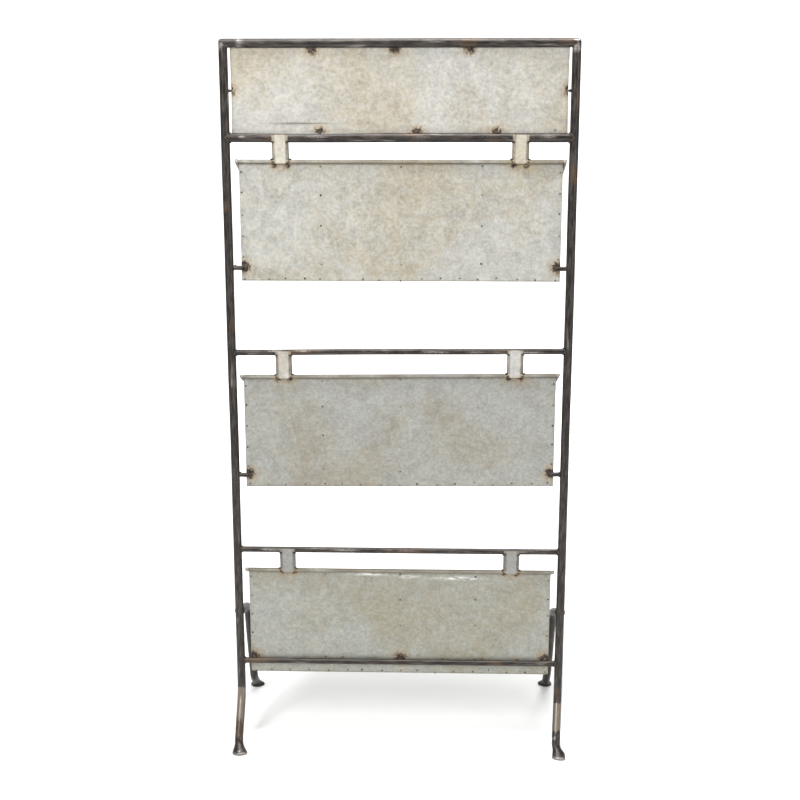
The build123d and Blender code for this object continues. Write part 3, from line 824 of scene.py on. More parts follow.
@dataclass
class TubeFrame:
    """The uprights, rails, crossbars and front legs, and the welds that join them."""

    finishes: Finishes
    radius: float = 0.0095
    rod: float = 0.00635
    step: float = 0.006
    turns: int = 28
    bend_z: float = 0.107
    knee: tuple[float, float] = (0.065, 0.027)
    leg_root_z: float = 0.316
    elbow: float = 0.146
    elbow_z: float = 0.258
    ankle_z: float = 0.048
    middle_rise: float = 0.0033
    corner: float = 0.0106

    def __post_init__(self) -> None:
        """Read the frame's plane and corners from the CAD boxes."""
        low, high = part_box("top_rail")
        self.x = high.x - self.radius
        self.y = (low.y + high.y) / 2
        self.top = high.z - self.radius

    def height_of(self, node: str) -> float:
        """Height of a crossbar's middle line."""
        low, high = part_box(node)
        return (low.z + high.z) / 2

    def round_corner(self, grid: Array) -> Array:
        """Round the frame's two top corners: no point lies further than a reach from the corner's axis.

        Args:
            grid: The tube's points.

        Returns:
            The rounded points.
        """
        out = np.clip(np.abs(grid[..., 0]) - self.x, 0, None)
        rise = np.clip(grid[..., 2] - self.top, 0, None)
        scale = np.minimum(1.0, self.corner / np.maximum(np.hypot(out, rise), 1e-9))
        rounded = grid.copy()
        rounded[..., 0] = np.sign(grid[..., 0]) * (np.abs(grid[..., 0]) - out * (1 - scale))
        rounded[..., 2] = grid[..., 2] - rise * (1 - scale)
        return rounded

    def dress_tube(self, grid: Array, seed: int) -> Array:
        """Give a tube the slight waves of a forged and hand-straightened bar.

        Args:
            grid: The tube's points.
            seed: Chooses the waves.

        Returns:
            The bent points.
        """
        centre = grid.mean(1, keepdims=True)
        wave = 0.00025 * ripple(centre, 0.30, seed)[..., None] * np.array([1.0, 1.0, 0.3])
        return grid + wave

    def upright(self, side: Side) -> None:
        """Build one upright with its mitred top and forged rear foot.

        Args:
            side: Which upright.
        """
        sign = side.value
        left, right = (0.001, 0.0055, 0.10, -0.2), (0.008, 0.0024, 0.30, -0.35)
        inset, pad_in, toe, toe_angle = left if side is Side.LEFT else right
        x = sign * self.x
        low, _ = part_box(f"{side.word}_upright")
        knee = (x - sign * inset, self.y - self.knee[0], self.knee[1])
        neck = (knee[0], knee[1] - 0.003, 0.0195)
        corners = [(x, self.y, self.top), (x, self.y, self.bend_z), knee, neck]
        path = rounded_path(corners, [0.070, 0.016], self.step)
        size = np.full(len(path), self.radius)
        grid = rings(path, EAST, size, size, self.turns)
        blend = np.clip(1 - (self.top - path[:, 2]) / 0.05, 0, 1)[:, None]
        grid[..., 2] += blend * sign * (grid[..., 0] - x)
        pad = (x - sign * pad_in, low.y + 0.0125, 0.0)
        foot = Foot(pad, 0.0158, 0.0118, toe=toe, toe_angle=toe_angle)
        grid = np.vstack([grid, foot.rings(grid[-1], tuple(path[-1]), self.turns)])
        hammer = 0.00022 * ripple(grid, 0.016, 5 + sign) * smooth(-grid[..., 2], -0.09, -0.02)
        grid[..., :2] += (hammer[..., None] * (grid - grid.mean(1, keepdims=True))[..., :2]) / self.radius
        grid = self.round_corner(self.dress_tube(grid, 31 + sign))
        grid[..., 2] = np.clip(grid[..., 2], 0.0, None)
        z = grid[..., 2]
        facing = smooth(self.y - grid[..., 1], -0.002, 0.006)
        rear = smooth(grid.mean(1, keepdims=True)[..., 1] - grid[..., 1], 0.0, 0.006)
        limits = (0.052, 0.122) if side is Side.LEFT else (0.046, 0.098)
        edge = 0.007 * ripple(grid, 0.018, 77)
        above = smooth(z + edge, limits[0], limits[0] + 0.010)
        below = 1 - smooth(z + 0.5 * edge, limits[1], limits[1] + 0.003)
        sanded = 0.75 * above * below * rear
        patchy = smooth(ripple(grid, 0.05, 12), -0.9, 0.1)
        ground = 0.55 * smooth(z, self.top - 0.035, self.top - 0.01) * patchy
        ground += 0.55 * (1 - smooth(z, 0.004, 0.010)) * facing
        low_soot = 0.18 * (1 - smooth(z, 0.0, 0.045))
        soot_and_shade = sum((glow(grid, (x, self.y, h), 0.017) for h in self.joints()), low_soot)
        marks = {
            "pale": sanded,
            "ground": ground,
            "soot_and_shade": np.clip(soot_and_shade, 0, 0.8),
            "grime": 0.6 * smooth(ripple(grid, 0.11, 8), 0.5, 1.0),
        }
        skin = Skin()
        skin.add_tube(grid, marks)
        node = f"{side.word}_upright"
        skin.build(f"{node}_tube", self.finishes.upright, "bare_steel", [node])

    def joints(self) -> list[float]:
        """Heights at which bars meet the uprights."""
        bars = ("sign_rail", "middle_crossbar", "lower_crossbar", "foot_crossbar")
        return [self.height_of(bar) for bar in bars]

    def front_leg(self, side: Side) -> None:
        """Build one front leg, coped to the upright and ending in a forged pad.

        Args:
            side: Which leg.
        """
        sign = side.value
        x = sign * self.x
        _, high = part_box(f"{side.word}_front_leg")
        ankle = 0.211 if side is Side.LEFT else 0.254
        pad_x = x - 0.0045 if side is Side.LEFT else x - 0.0015
        pad_y = high.y - 0.0165
        left, right = (0.0035, 0.011, 0.0042), (-0.0035, 0.0, 0.0015)
        lift, droop, bow = left if side is Side.LEFT else right
        elbow_x = x - bow
        root = (x, self.y, self.leg_root_z + lift - droop)
        corners = [
            root,
            (elbow_x, self.y + self.elbow, self.elbow_z + lift),
            (pad_x + 0.001, self.y + ankle, self.ankle_z),
            (pad_x, pad_y - 0.016, 0.019),
        ]
        path = rounded_path(corners, [0.042, 0.050], self.step)
        size = np.full(len(path), self.radius)
        grid = rings(path, EAST, size, size, self.turns)
        skip = int(0.030 / self.step)
        way = tangents(path)[0]
        spread = np.sqrt(np.clip(self.radius**2 - (grid[0, :, 0] - x) ** 2, 0, None))
        reach = (self.y + spread - grid[0, :, 1]) / way[1]
        share = np.linspace(0, 1, skip + 1)[:, None]
        whole = np.linalg.norm(path[skip] - path[0])
        travel = reach[None, :] * (1 - share) + whole * share
        grid[: skip + 1] = grid[0][None] + travel[..., None] * way
        inward = math.pi if side is Side.RIGHT else 0.0
        foot = Foot((pad_x, pad_y, 0.0), 0.0150, 0.0150, toe=0.22, toe_angle=inward, heel=0.0)
        grid = np.vstack([grid, foot.rings(grid[-1], tuple(path[-1]), self.turns)])
        grid = self.dress_tube(grid, 51 + sign)
        grid[..., 2] = np.clip(grid[..., 2], 0.0, None)
        soot_and_shade = 0.78 + glow(grid, root, 0.02) + 0.12 * ripple(grid, 0.03, 19)
        grime = 0.5 * smooth(ripple(grid, 0.09, 4), 0.4, 0.9)
        skin = Skin()
        skin.add_tube(grid, {"soot_and_shade": np.clip(soot_and_shade, 0, 0.85), "grime": grime})
        node = f"{side.word}_front_leg"
        skin.build(f"{node}_tube", self.finishes.upright, "bare_steel", [node])

    def top_rail(self) -> None:
        """Build the top tube, mitred at both ends: z of its top reaches out as far as the tube's height."""
        left, right = ((side.value * self.x, self.y, self.top) for side in Side)
        across = run_of(np.array(left), np.array(right), self.step)
        size = np.full(len(across), self.radius)
        grid = rings(across, UP, size, size, self.turns)
        rise = grid[..., 2] - self.top
        blend = np.clip((np.abs(across[:, 0]) - self.x + 0.05) / 0.05, 0, 1)
        grid[..., 0] += blend[:, None] * np.sign(across[:, 0])[:, None] * rise
        grid = self.round_corner(self.dress_tube(grid, 3))
        ends = smooth(np.abs(grid[..., 0]), self.x - 0.075, self.x - 0.02)
        ends = ends * smooth(ripple(grid, 0.05, 9), -0.9, 0.2)
        below = self.top - self.radius
        tacks = sum(glow(grid, (place, self.y, below), 0.014) for place in SignPanel.top_tacks)
        marks = {
            "ground": 0.55 * ends,
            "soot_and_shade": np.clip(1.1 * tacks, 0, 0.9),
            "grime": 0.5 * smooth(ripple(grid, 0.12, 2), 0.3, 0.9),
        }
        skin = Skin()
        skin.add_tube(grid, marks)
        skin.build("top_rail_tube", self.finishes.across, "bare_steel", ["top_rail"])

    def crossbar(
        self, node: str, radius: float, seed: int, ground_at: Sequence[Point], tilt: float = 0.0
    ) -> None:
        """Build a bar between the uprights: its ends lie on the uprights' round sides.

        Args:
            node: The CAD node.
            radius: The bar's radius.
            seed: Chooses the bar's waves and streaks.
            ground_at: Bright ground places as (x, length, strength).
            tilt: How much higher the bar's right end is than its middle.
        """
        z = self.height_of(node)
        path = run_of(np.array([-self.x, self.y, z]), np.array([self.x, self.y, z]), self.step)
        size = np.full(len(path), radius)
        grid = rings(path, UP, size, size, self.turns)
        reach = self.x - np.sqrt(np.clip(self.radius**2 - (grid[..., 1] - self.y) ** 2, 0, None))
        grid[..., 0] = np.linspace(-1, 1, len(path))[:, None] * reach
        grid[..., 2] += tilt * grid[..., 0] / self.x
        centre = grid.mean(1, keepdims=True)
        grid = grid + 0.0004 * ripple(centre, 0.42, seed)[..., None] * UP
        rear = smooth(self.y - grid[..., 1], 0.0, radius * 0.7)
        ground = np.zeros(grid.shape[:2])
        for place, length, power in ground_at:
            spot = (place, self.y - radius, z + 0.2 * radius)
            ground += 0.62 * power * glow(grid, spot, (length, 0.02, radius * 0.55))
        ends = glow(np.abs(grid), (self.x - self.radius, abs(self.y), z), 0.020)
        marks = {
            "ground": np.clip(ground, 0, 1) * rear,
            "soot_and_shade": np.clip(0.9 * ends, 0, 0.85),
            "grime": 0.55 * smooth(ripple(grid, 0.10, seed + 1), 0.35, 0.9),
        }
        skin = Skin()
        skin.add_tube(grid, marks)
        skin.build(f"{node}_bar", self.finishes.across, "bare_steel", [node])

    def bar_welds(self, node: str, bar: str, radius: float, seed: int, tilt: float = 0.0) -> None:
        """Build the weld beads round both ends of a bar.

        The bead's middle line is the seam (x - sqrt(R^2 - y^2), y, z) of bar and upright, and its radius
        swells and shrinks nine times on the way round.

        Args:
            node: The CAD node of the welds.
            bar: The CAD node of the bar.
            radius: The bar's radius.
            seed: Chooses the lumps.
            tilt: How much higher the bar's right end is than its middle.
        """
        skin = Skin()
        z = self.height_of(bar)
        for side in Side:
            angle = np.linspace(0, 2 * math.pi, 44, endpoint=False)
            y, rise = radius * np.sin(angle), radius * np.cos(angle)
            x = side.value * (self.x - np.sqrt(np.clip(self.radius**2 - y**2, 0, None)) - 0.0004)
            seam = np.stack([x, self.y + y, z + rise + side.value * tilt], -1)
            skin.add_tube(self.bead_ring(seam, 0.0019, seed + side.value), ring=True)
        skin.build(f"{node}_beads", self.finishes.weld, "weld", [node])

    def bead_ring(self, seam: Array, radius: float, seed: int) -> Array:
        """A closed bead along a seam: centre + r * (cos b * outward + sin b * (along x outward)).

        Args:
            seam: Points of the closed seam, one per row.
            radius: Mean radius of the bead.
            seed: Chooses the lumps.

        Returns:
            Points with shape (seam points, 10, 3).
        """
        along = np.roll(seam, -1, 0) - np.roll(seam, 1, 0)
        along /= np.linalg.norm(along, axis=1, keepdims=True)
        outward = seam - seam.mean(0)
        outward -= along * np.sum(outward * along, 1, keepdims=True)
        outward /= np.linalg.norm(outward, axis=1, keepdims=True)
        third = np.cross(along, outward)
        turn = np.linspace(0, 2 * math.pi, 10, endpoint=False)[None, :, None]
        thick = radius * (1 + 0.22 * ripple(seam, 0.009, seed))[:, None, None]
        round_ = np.cos(turn) * outward[:, None] + np.sin(turn) * third[:, None]
        return seam[:, None, :] + thick * round_

    def leg_welds(self) -> None:
        """Build the weld beads at the roots of the front legs."""
        skin = Skin()
        for side in Side:
            angle = np.linspace(0, 2 * math.pi, 48, endpoint=False)
            x, rise = self.radius * np.sin(angle), self.radius * np.cos(angle)
            y = np.sqrt(np.clip(self.radius**2 - x**2, 0, None)) + 0.0004
            fall = math.atan2(self.leg_root_z - self.elbow_z, self.elbow)
            root_z = self.leg_root_z - (0.0075 if side is Side.LEFT else 0.0035)
            height = root_z + rise / math.cos(fall) - y * math.tan(fall)
            seam = np.stack([side.value * self.x + x, self.y + y, height], -1)
            skin.add_tube(self.bead_ring(seam, 0.0021, 60 + side.value), ring=True)
        skin.build("front_leg_weld_beads", self.finishes.weld, "weld", ["front_leg_welds"])

    def build(self) -> None:
        """Build every piece of the frame."""
        for side in Side:
            self.upright(side)
            self.front_leg(side)
        self.top_rail()
        radii = {"sign_rail": self.radius}
        tilts = {"middle_crossbar": self.middle_rise}
        for seed, (node, patches) in enumerate(GROUND_PATCHES.items(), 14):
            self.crossbar(node, radii.get(node, self.rod), seed, patches, tilts.get(node, 0.0))
        for seed, node in enumerate(GROUND_PATCHES, 41):
            radius = radii.get(node, self.rod)
            self.bar_welds(f"{node}_welds", node, radius, seed, tilts.get(node, 0.0))
        self.leg_welds()


@dataclass
class SignPanel:
    """The flat sheet in the top window and the tacks that hold it."""

    finishes: Finishes
    thick: float = 0.001
    top_tacks: tuple[float, ...] = (-0.180, -0.009, 0.145)
    low_tacks: tuple[float, ...] = (-0.166, 0.037, 0.204)

    def tack_places(self) -> list[Point]:
        """Middle of each tack weld.

        Returns:
            The places, first along the top, then along the bottom, then the sides.
        """
        low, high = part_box("sign_panel")
        y = (low.y + high.y) / 2 - 0.0012
        side = high.x + 0.0022
        middle = (low.z + high.z) / 2
        places = [(x, y, high.z - 0.0008) for x in self.top_tacks]
        places += [(x, y, low.z + 0.0008) for x in self.low_tacks]
        return places + [(-side, y, middle), (side, y, middle)]

    def build(self) -> None:
        """Build the sheet with gentle waves, painted shade along its edges, burn marks and scuffs, then the
        tacks.
        """
        low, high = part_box("sign_panel")
        across = np.linspace(low.x, high.x, 236)
        rise = np.linspace(low.z, high.z, 62)
        x, z = np.meshgrid(across, rise)
        centre = np.stack([x, np.full_like(x, (low.y + high.y) / 2), z], -1)
        edge = np.minimum.reduce([x - low.x, high.x - x, z - low.z, high.z - z])
        centre[..., 1] += 0.0006 * ripple(centre, 0.19, 21) * smooth(edge, 0.0, 0.03)
        bow = np.abs(2 * (z - low.z) / (high.z - low.z) - 1)
        centre[..., 0] += 0.0012 * (1 - bow) * np.sign(-x) * smooth(np.abs(x), 0.33, high.x)
        heat = np.zeros_like(x)
        for number, place in enumerate(self.tack_places()):
            away = 0.002 if place[2] < high.z - 0.05 else -0.002
            drift = np.array([0.003 * math.sin(2.1 * number), 0.0, away])
            core = 1.15 * glow(centre, place, (0.0095, 0.05, 0.0100))
            heat += core + 0.30 * glow(centre, place + drift, (0.028, 0.05, 0.018))
        # Painted shade along the bottom edge where the sheet meets the sign rail, at the sides by the
        # uprights and under the top rail.
        floor_line = np.exp(-((z - low.z) / 0.009))
        sides = np.exp(-np.minimum(x - low.x, high.x - x) / 0.005)
        grime = 0.34 * floor_line * (0.7 + 0.5 * ripple(centre, 0.08, 5)) + 0.55 * sides
        grime += 0.10 * np.exp(-((high.z - z) / 0.004))
        scuff = 0.9 * glow(centre, (-0.225, low.y, low.z + 0.0195), (0.052, 0.05, 0.0026))
        scuff += 0.6 * glow(centre, (-0.165, low.y, low.z + 0.0203), (0.040, 0.05, 0.0019))
        scuff += 0.9 * glow(centre, (-0.204, low.y, low.z + 0.0270), (0.016, 0.05, 0.0011))
        scuff += 1.2 * glow(centre, (0.325, low.y, low.z + 0.006), (0.0035, 0.05, 0.0035))
        skin = Skin()
        marks = {"burn": heat, "grime": grime, "soot_and_shade": 0.85 * scuff}
        skin.add_slab(centre, NORTH, self.thick, marks)
        skin.build("sign_panel_sheet", self.finishes.sign, "galvanised_sheet", ["sign_panel"])
        tacks = Skin()
        for number, place in enumerate(self.tack_places()):
            tacks.add_tube(blob(place, (0.0040, 0.0024, 0.0032), 90 + number))
        tacks.build("sign_tack_beads", self.finishes.weld, "weld", ["sign_tack_welds"])


# ---------------------------------------------------------------------------------------------
# Pockets
# ---------------------------------------------------------------------------------------------


@dataclass(frozen=True)
class Burn:
    """A burn mark on a sheet at a place, with the strength of its core and halo."""

    x: float
    z: float
    core: float = 0.009
    halo: float = 0.022
    power: float = 1.0


@dataclass
class Pocket:
    """One sheet pocket: back, tray, ends, dividers, rims and edge wires, on two straps."""

    level: Level
    finishes: Finishes
    finish: bpy.types.Material
    strap: bpy.types.Material
    bar: str
    bar_radius: float
    climb: float
    tied: bool
    tilt: float = 0.0
    shift: float = 0.0
    sag: float = 0.0
    seed: int = 0
    burns: tuple[Burn, ...] = ()
    smears: tuple[tuple[float, float, float, float], ...] = ()
    creases: tuple[tuple[float, float, float, float, float], ...] = ()
    thick: float = 0.001
    rim: float = 0.0043
    wire: float = 0.0032
    drop: float = 0.069
    floor_depth: float = 0.124
    flange: float = 0.012
    hanger_x: float = 0.252
    web: float = 0.022
    spread: float = 0.0065
    depth: float = 0.007
    stub_radius: float = 0.005
    stub_rise: float = 0.028
    lap: float = 0.008
    trim: float = 0.0012
    divider_drop: float = 0.010

    def __post_init__(self) -> None:
        """Read the pocket's corners from the CAD boxes."""
        word = self.level.value
        low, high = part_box(f"{word}_pocket_back")
        _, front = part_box(f"{word}_pocket_tray")
        frame_low, frame_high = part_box("top_rail")
        self.half = high.x
        self.floor = low.z
        self.rim_z = high.z - self.rim - self.sag
        self.rear_y = low.y + self.rim
        self.back_y = high.y - self.thick / 2
        self.inner_y = high.y
        self.front_y = front.y - self.rim
        self.frame_y = (frame_low.y + frame_high.y) / 2
        self.post_x = frame_high.x - 0.0095
        bar_low, bar_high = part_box(self.bar)
        self.bar_z = (bar_low.z + bar_high.z) / 2
        foot = np.array([self.inner_y + self.floor_depth, self.floor])
        chord = np.array([self.front_y, self.rim_z - self.drop]) - foot
        lean = math.asin(self.rim / np.linalg.norm(chord)) + math.atan2(chord[1], chord[0])
        self.rise = np.array([math.cos(lean), math.sin(lean)])
        self.out = np.array([self.rise[1], -self.rise[0]])
        self.foot = foot
        self.top = np.array([self.front_y, self.rim_z - self.drop]) - self.out * self.rim

    def name(self, part: str) -> str:
        """A node's name on this level."""
        return f"{self.level.value}_{part}"

    def settle(self, points: Array) -> Array:
        """Lean and shift points as the whole pocket hangs: z + tilt * x / half, x + shift.

        Args:
            points: Positions.

        Returns:
            The moved positions.
        """
        moved = points.copy()
        moved[..., 2] += self.tilt * points[..., 0] / self.half
        moved[..., 0] += self.shift
        return moved

    def drawn(self, line: Array, across: Array) -> tuple[Array, Array]:
        """Carry a YZ line along X.

        Args:
            line: Points as (y, z), one per row.
            across: X of each column.

        Returns:
            The middle surface and its normals, both with shape (rows, columns, 3).
        """
        way = np.gradient(line, axis=0)
        way /= np.linalg.norm(way, axis=1, keepdims=True)
        centre = np.zeros((len(line), len(across), 3))
        centre[..., 0] = across[None, :]
        centre[..., 1:] = line[:, None, :]
        normal = np.zeros_like(centre)
        normal[..., 1] = way[:, 1][:, None]
        normal[..., 2] = -way[:, 0][:, None]
        return centre, normal

    def arc(self, centre: Array, start: float, end: float, count: int = 26) -> Array:
        """Points of a rolled rim: centre + mean radius * (cos, sin) between two angles in degrees."""
        angle = np.radians(np.linspace(start, end, count))
        return centre + (self.rim - self.thick / 2) * np.stack([np.cos(angle), np.sin(angle)], -1)

    def spots(self) -> list[tuple[float, float]]:
        """Places of the spot welds, as (x, z): three columns, the lower edge and both sides.

        Returns:
            The places.
        """
        draw = np.random.default_rng(200 + self.seed)
        pitch = self.half / 2
        falls = (0.010, 0.071, 0.135, 0.214)
        places = [(x * pitch + 0.002, self.rim_z - fall) for x in (-1, 0, 1) for fall in falls]
        low = self.floor + 0.004
        places += [(x, low) for x in np.linspace(-self.half + 0.009, self.half - 0.009, 17)]
        heights = np.linspace(low + 0.045, self.rim_z - 0.020, 5)
        places += [(side * (self.half - 0.005), z) for side in (-1, 1) for z in heights]
        return [
            (x + draw.normal(0, 0.003) * (abs(z - low) < 1e-9), z + draw.normal(0, 0.0018))
            for x, z in places
        ]

    def sheet_marks(self, points: Array) -> dict[str, Array]:
        """Marks on the back panel: burns, spot welds' dark dots, painted shade under the rim, at its foot
        and sides and along its creases, a painted highlight beside the creases, and pale smears.

        Args:
            points: The panel's middle surface before it settles.

        Returns:
            The marks by name.
        """
        plane = points[..., [0, 2]]
        heat = np.zeros(points.shape[:2])
        for burn in self.burns:
            heat += burn.power * glow(plane, (burn.x, burn.z), burn.core)
            heat += 0.36 * burn.power * glow(plane, (burn.x, burn.z), burn.halo)
        soot_and_shade = sum(0.55 * glow(plane, place, 0.0030) for place in self.spots())
        # Painted shade in the crevice under the rolled rim, along the panel's foot on the tray and at its
        # sides by the end panels.
        under = np.exp(-(((points[..., 2] - self.rim_z + 0.0048) / 0.0018) ** 2))
        low = np.exp(-(points[..., 2] - self.floor) / 0.0018)
        sides = np.exp(-(self.half - np.abs(points[..., 0])) / 0.0022)
        grime = 0.95 * under + 0.75 * low + 0.35 * sides
        pale = np.zeros_like(heat)
        for x, z, long, high in self.smears:
            pale += glow(plane, (x, z), (long, high))
        # Painted shade along each crease and a painted highlight on the strip beside it.
        for x0, z0, x1, z1, _ in self.creases:
            soot_and_shade = soot_and_shade + 0.34 * self.crease_share(plane, x0, z0, x1, z1, 0.0028)
            beside = plane + np.array([0.0060, 0.002])
            pale += 0.10 * self.crease_share(beside, x0, z0, x1, z1, 0.0040)
        return {"burn": heat, "soot_and_shade": soot_and_shade, "grime": grime, "pale": np.clip(pale, 0, 1)}

    def crease_share(
        self, plane: Array, x0: float, z0: float, x1: float, z1: float, width: float
    ) -> Array:
        """Nearness to a line from (x0, z0) to (x1, z1): exp of minus the squared distance over width.

        Args:
            plane: Positions as (x, z).
            x0: X of the line's start.
            z0: Z of the line's start.
            x1: X of the line's end.
            z1: Z of the line's end.
            width: Distance at which the nearness has faded to a third.

        Returns:
            One value per position, faded at both ends of the line.
        """
        start, way = np.array([x0, z0]), np.array([x1 - x0, z1 - z0])
        along = np.clip(((plane - start) @ way) / (way @ way), 0, 1)
        gap = plane - start - along[..., None] * way
        fade = np.sin(math.pi * np.clip(along, 0.04, 0.96))
        return np.exp(-np.sum(gap * gap, -1) / width**2) * fade

    def back(self) -> None:
        """Build the back panel: up from the floor, then rolled 300 degrees to the rear."""
        straight = np.stack([np.full(74, self.back_y), np.linspace(self.floor, self.rim_z, 74)], -1)
        line = np.vstack([straight[:-1], self.arc(np.array([self.rear_y, self.rim_z]), 0, 300)])
        across = np.linspace(-self.half + 0.0006, self.half - 0.0006, 224)
        centre, normal = self.drawn(line, across)
        marks = self.sheet_marks(centre)
        flat = (np.arange(len(line)) < 73).astype(float)[:, None]
        inside = smooth(self.rim_z - centre[..., 2], 0.0, 0.05)
        inside = inside * smooth(centre[..., 2] - self.floor, 0.0, 0.02)
        inside = inside * smooth(self.half - np.abs(centre[..., 0]), 0.0, 0.03) * flat
        dent = 0.0006 * ripple(centre, 0.17, 300 + self.seed) * inside
        plane = centre[..., [0, 2]]
        for x0, z0, x1, z1, deep in self.creases:
            valley = self.crease_share(plane + 0.006, x0, z0, x1, z1, 0.008)
            ridge = self.crease_share(plane, x0, z0, x1, z1, 0.006) - 0.6 * valley
            dent = dent + deep * ridge * flat
        # On the rolled rim the marks give way to painted shade on its top and underside.
        marks["grime"] = np.where(flat < 1, self.roll_grime(centre), marks["grime"])
        centre[..., 1] += dent
        skin = Skin()
        skin.add_slab(self.settle(centre), normal, self.thick, marks)
        node = self.name("pocket_back")
        skin.build(self.name("back_sheet"), self.finish, "galvanised_sheet", [node])

    def roll_grime(self, centre: Array) -> Array:
        """Painted shade on the rolled rim: thick on its top and underneath, thin on its middle.

        Args:
            centre: The panel's middle surface.

        Returns:
            One value per point.
        """
        lift = (centre[..., 2] - self.rim_z) / self.rim
        wear_and_shade = 0.15 * ripple(centre, 0.05, 7 + self.seed)
        return 0.46 + 0.54 * smooth(np.abs(lift - 0.1), 0.40, 0.80) + wear_and_shade

    def tray(self) -> None:
        """Build the rear flange, floor, sloped front and rolled front rim from one bent sheet."""
        half = self.thick / 2
        bend = 0.0018
        corners = [
            (0.0, self.inner_y + half, self.floor + self.flange),
            (0.0, self.inner_y + half, self.floor + half),
            (0.0, self.foot[0] + half, self.floor + half),
            (0.0, *(self.top + self.out * half)),
        ]
        line = rounded_path(corners, [bend, bend], 0.0045)[:, 1:]
        hub = np.array([self.front_y, self.rim_z - self.drop])
        slope = math.degrees(math.atan2(self.out[1], self.out[0]))
        line = np.vstack([line[:-1], self.arc(hub, slope + 180, slope - 120)])
        across = np.linspace(-self.half + self.thick, self.half - self.thick, 150)
        centre, normal = self.drawn(line, across)
        inside = smooth(self.half - np.abs(centre[..., 0]), 0.0, 0.03)
        inside = inside * smooth(hub[1] - 0.01 - centre[..., 2], 0.0, 0.04)
        inside = inside * smooth(centre[..., 2] - self.floor, 0.0, 0.02)
        centre[..., 1] += 0.0007 * ripple(centre, 0.16, 400 + self.seed) * inside
        # Darker along the floor and its bends; painted shade on the rolled front rim, uneven along it.
        edge = np.exp(-(((centre[..., 2] - self.floor) / 0.004) ** 2)) * 0.5
        rolled = smooth(centre[..., 2], hub[1] - 0.006, hub[1] - 0.001)
        marks = {
            "grime": edge + rolled * (0.30 + 0.2 * ripple(centre, 0.06, 11)),
            "soot_and_shade": 0.12 * smooth(ripple(centre, 0.09, 13), 0.2, 0.9),
        }
        skin = Skin()
        skin.add_slab(self.settle(centre), normal, self.thick, marks)
        node = self.name("pocket_tray")
        skin.build(self.name("tray_sheet"), self.finish, "galvanised_sheet", [node])

    def end_rim_axis(self, side: Side) -> tuple[Array, Array]:
        """Front and rear ends of an end rim's middle line.

        Args:
            side: Which end.

        Returns:
            The front end and the rear end.
        """
        x = side.value * (self.half - self.thick + self.rim)
        front = np.array([x, self.front_y, self.rim_z - self.drop])
        rear = np.array([x, self.rear_y, self.rim_z])
        way = (rear - front) / np.linalg.norm(rear - front)
        over = self.rim - 0.0006
        return front - way * over, rear + way * over

    def rim_height(self, y: Array | float) -> Array | float:
        """Height of the end rim's middle line at y."""
        return self.rim_z - self.drop * (y - self.rear_y) / (self.front_y - self.rear_y)

    def end(self, side: Side) -> None:
        """Build an end panel with its flanges and its sloping rolled rim.

        Args:
            side: Which end.
        """
        sign = side.value
        skin = Skin()
        plate_x = sign * (self.half - self.thick / 2)
        base = self.floor + self.thick
        along, up = np.meshgrid(np.linspace(0, 1, 60), np.linspace(0, 1, 50))
        y = self.inner_y + along * (self.top[0] - self.inner_y)
        share = (self.top[1] - base) / (self.top[0] - self.foot[0])
        low = np.maximum(base, base + (y - self.foot[0] - 0.0006) * share)
        z = low + up * (self.rim_height(y) - low)
        plate = np.stack([np.full_like(y, plate_x), y, z], -1)
        inside = np.sin(math.pi * along) * np.sin(math.pi * up)
        plate[..., 0] += 0.0005 * ripple(plate, 0.11, 500 + self.seed + sign) * inside
        # Painted shade under the rolled rim and along the panel's foot.
        edge = 0.45 * np.exp(-(((z - self.rim_height(y)) / 0.003) ** 2))
        edge += 0.3 * np.exp(-(z - base) / 0.004)
        skin.add_slab(self.settle(plate), EAST, self.thick, {"grime": edge})
        front, rear = self.end_rim_axis(side)
        axis = run_of(front, rear, 0.004)
        way = (rear - front) / np.linalg.norm(rear - front)
        square = np.cross(way, EAST)
        square *= np.sign(square[2])
        angle = np.radians(np.linspace(180, -120, 26) if sign > 0 else np.linspace(0, 300, 26))
        normal = np.cos(angle)[:, None] * EAST + np.sin(angle)[:, None] * square
        roll = axis[None, :, :] + (self.rim - self.thick / 2) * normal[:, None, :]
        # Painted shade over the whole rolled rim, uneven along it.
        wear_and_shade = 0.62 + 0.25 * ripple(roll, 0.05, 17)
        skin.add_slab(self.settle(roll), normal[:, None, :], self.thick, {"grime": wear_and_shade})
        self.add_flanges(skin, plate_x, -sign, base)
        node = self.name(f"pocket_{side.word}_end")
        skin.build(self.name(f"{side.word}_end_sheet"), self.finish, "galvanised_sheet", [node])

    def add_flanges(self, skin: Skin, x: float, turn: int, base: float) -> None:
        """Add the folded strips of an end panel or divider, on the back panel and on the floor.

        Args:
            skin: The piece that they belong to.
            x: Middle of the plate.
            turn: Direction in X that the strips are folded to.
            base: Top of the tray's floor.
        """
        half = self.thick / 2
        width = np.linspace(0.0004, self.flange - half, 6)
        rise = np.linspace(base + self.flange + 0.001, self.rim_z - self.flange - 0.002, 40)
        across, z = np.meshgrid(x + turn * width, rise)
        rear = np.stack([across, np.full_like(across, self.inner_y + half), z], -1)
        run = np.linspace(self.inner_y + self.flange + 0.001, self.foot[0] - self.flange, 24)
        across, y = np.meshgrid(x + turn * width, run)
        flat = np.stack([across, y, np.full_like(across, base + half)], -1)
        for strip, facing in ((rear, NORTH), (flat, UP)):
            grime = np.full(strip.shape[:2], 0.12)
            skin.add_slab(self.settle(strip), facing, self.thick, {"grime": grime})

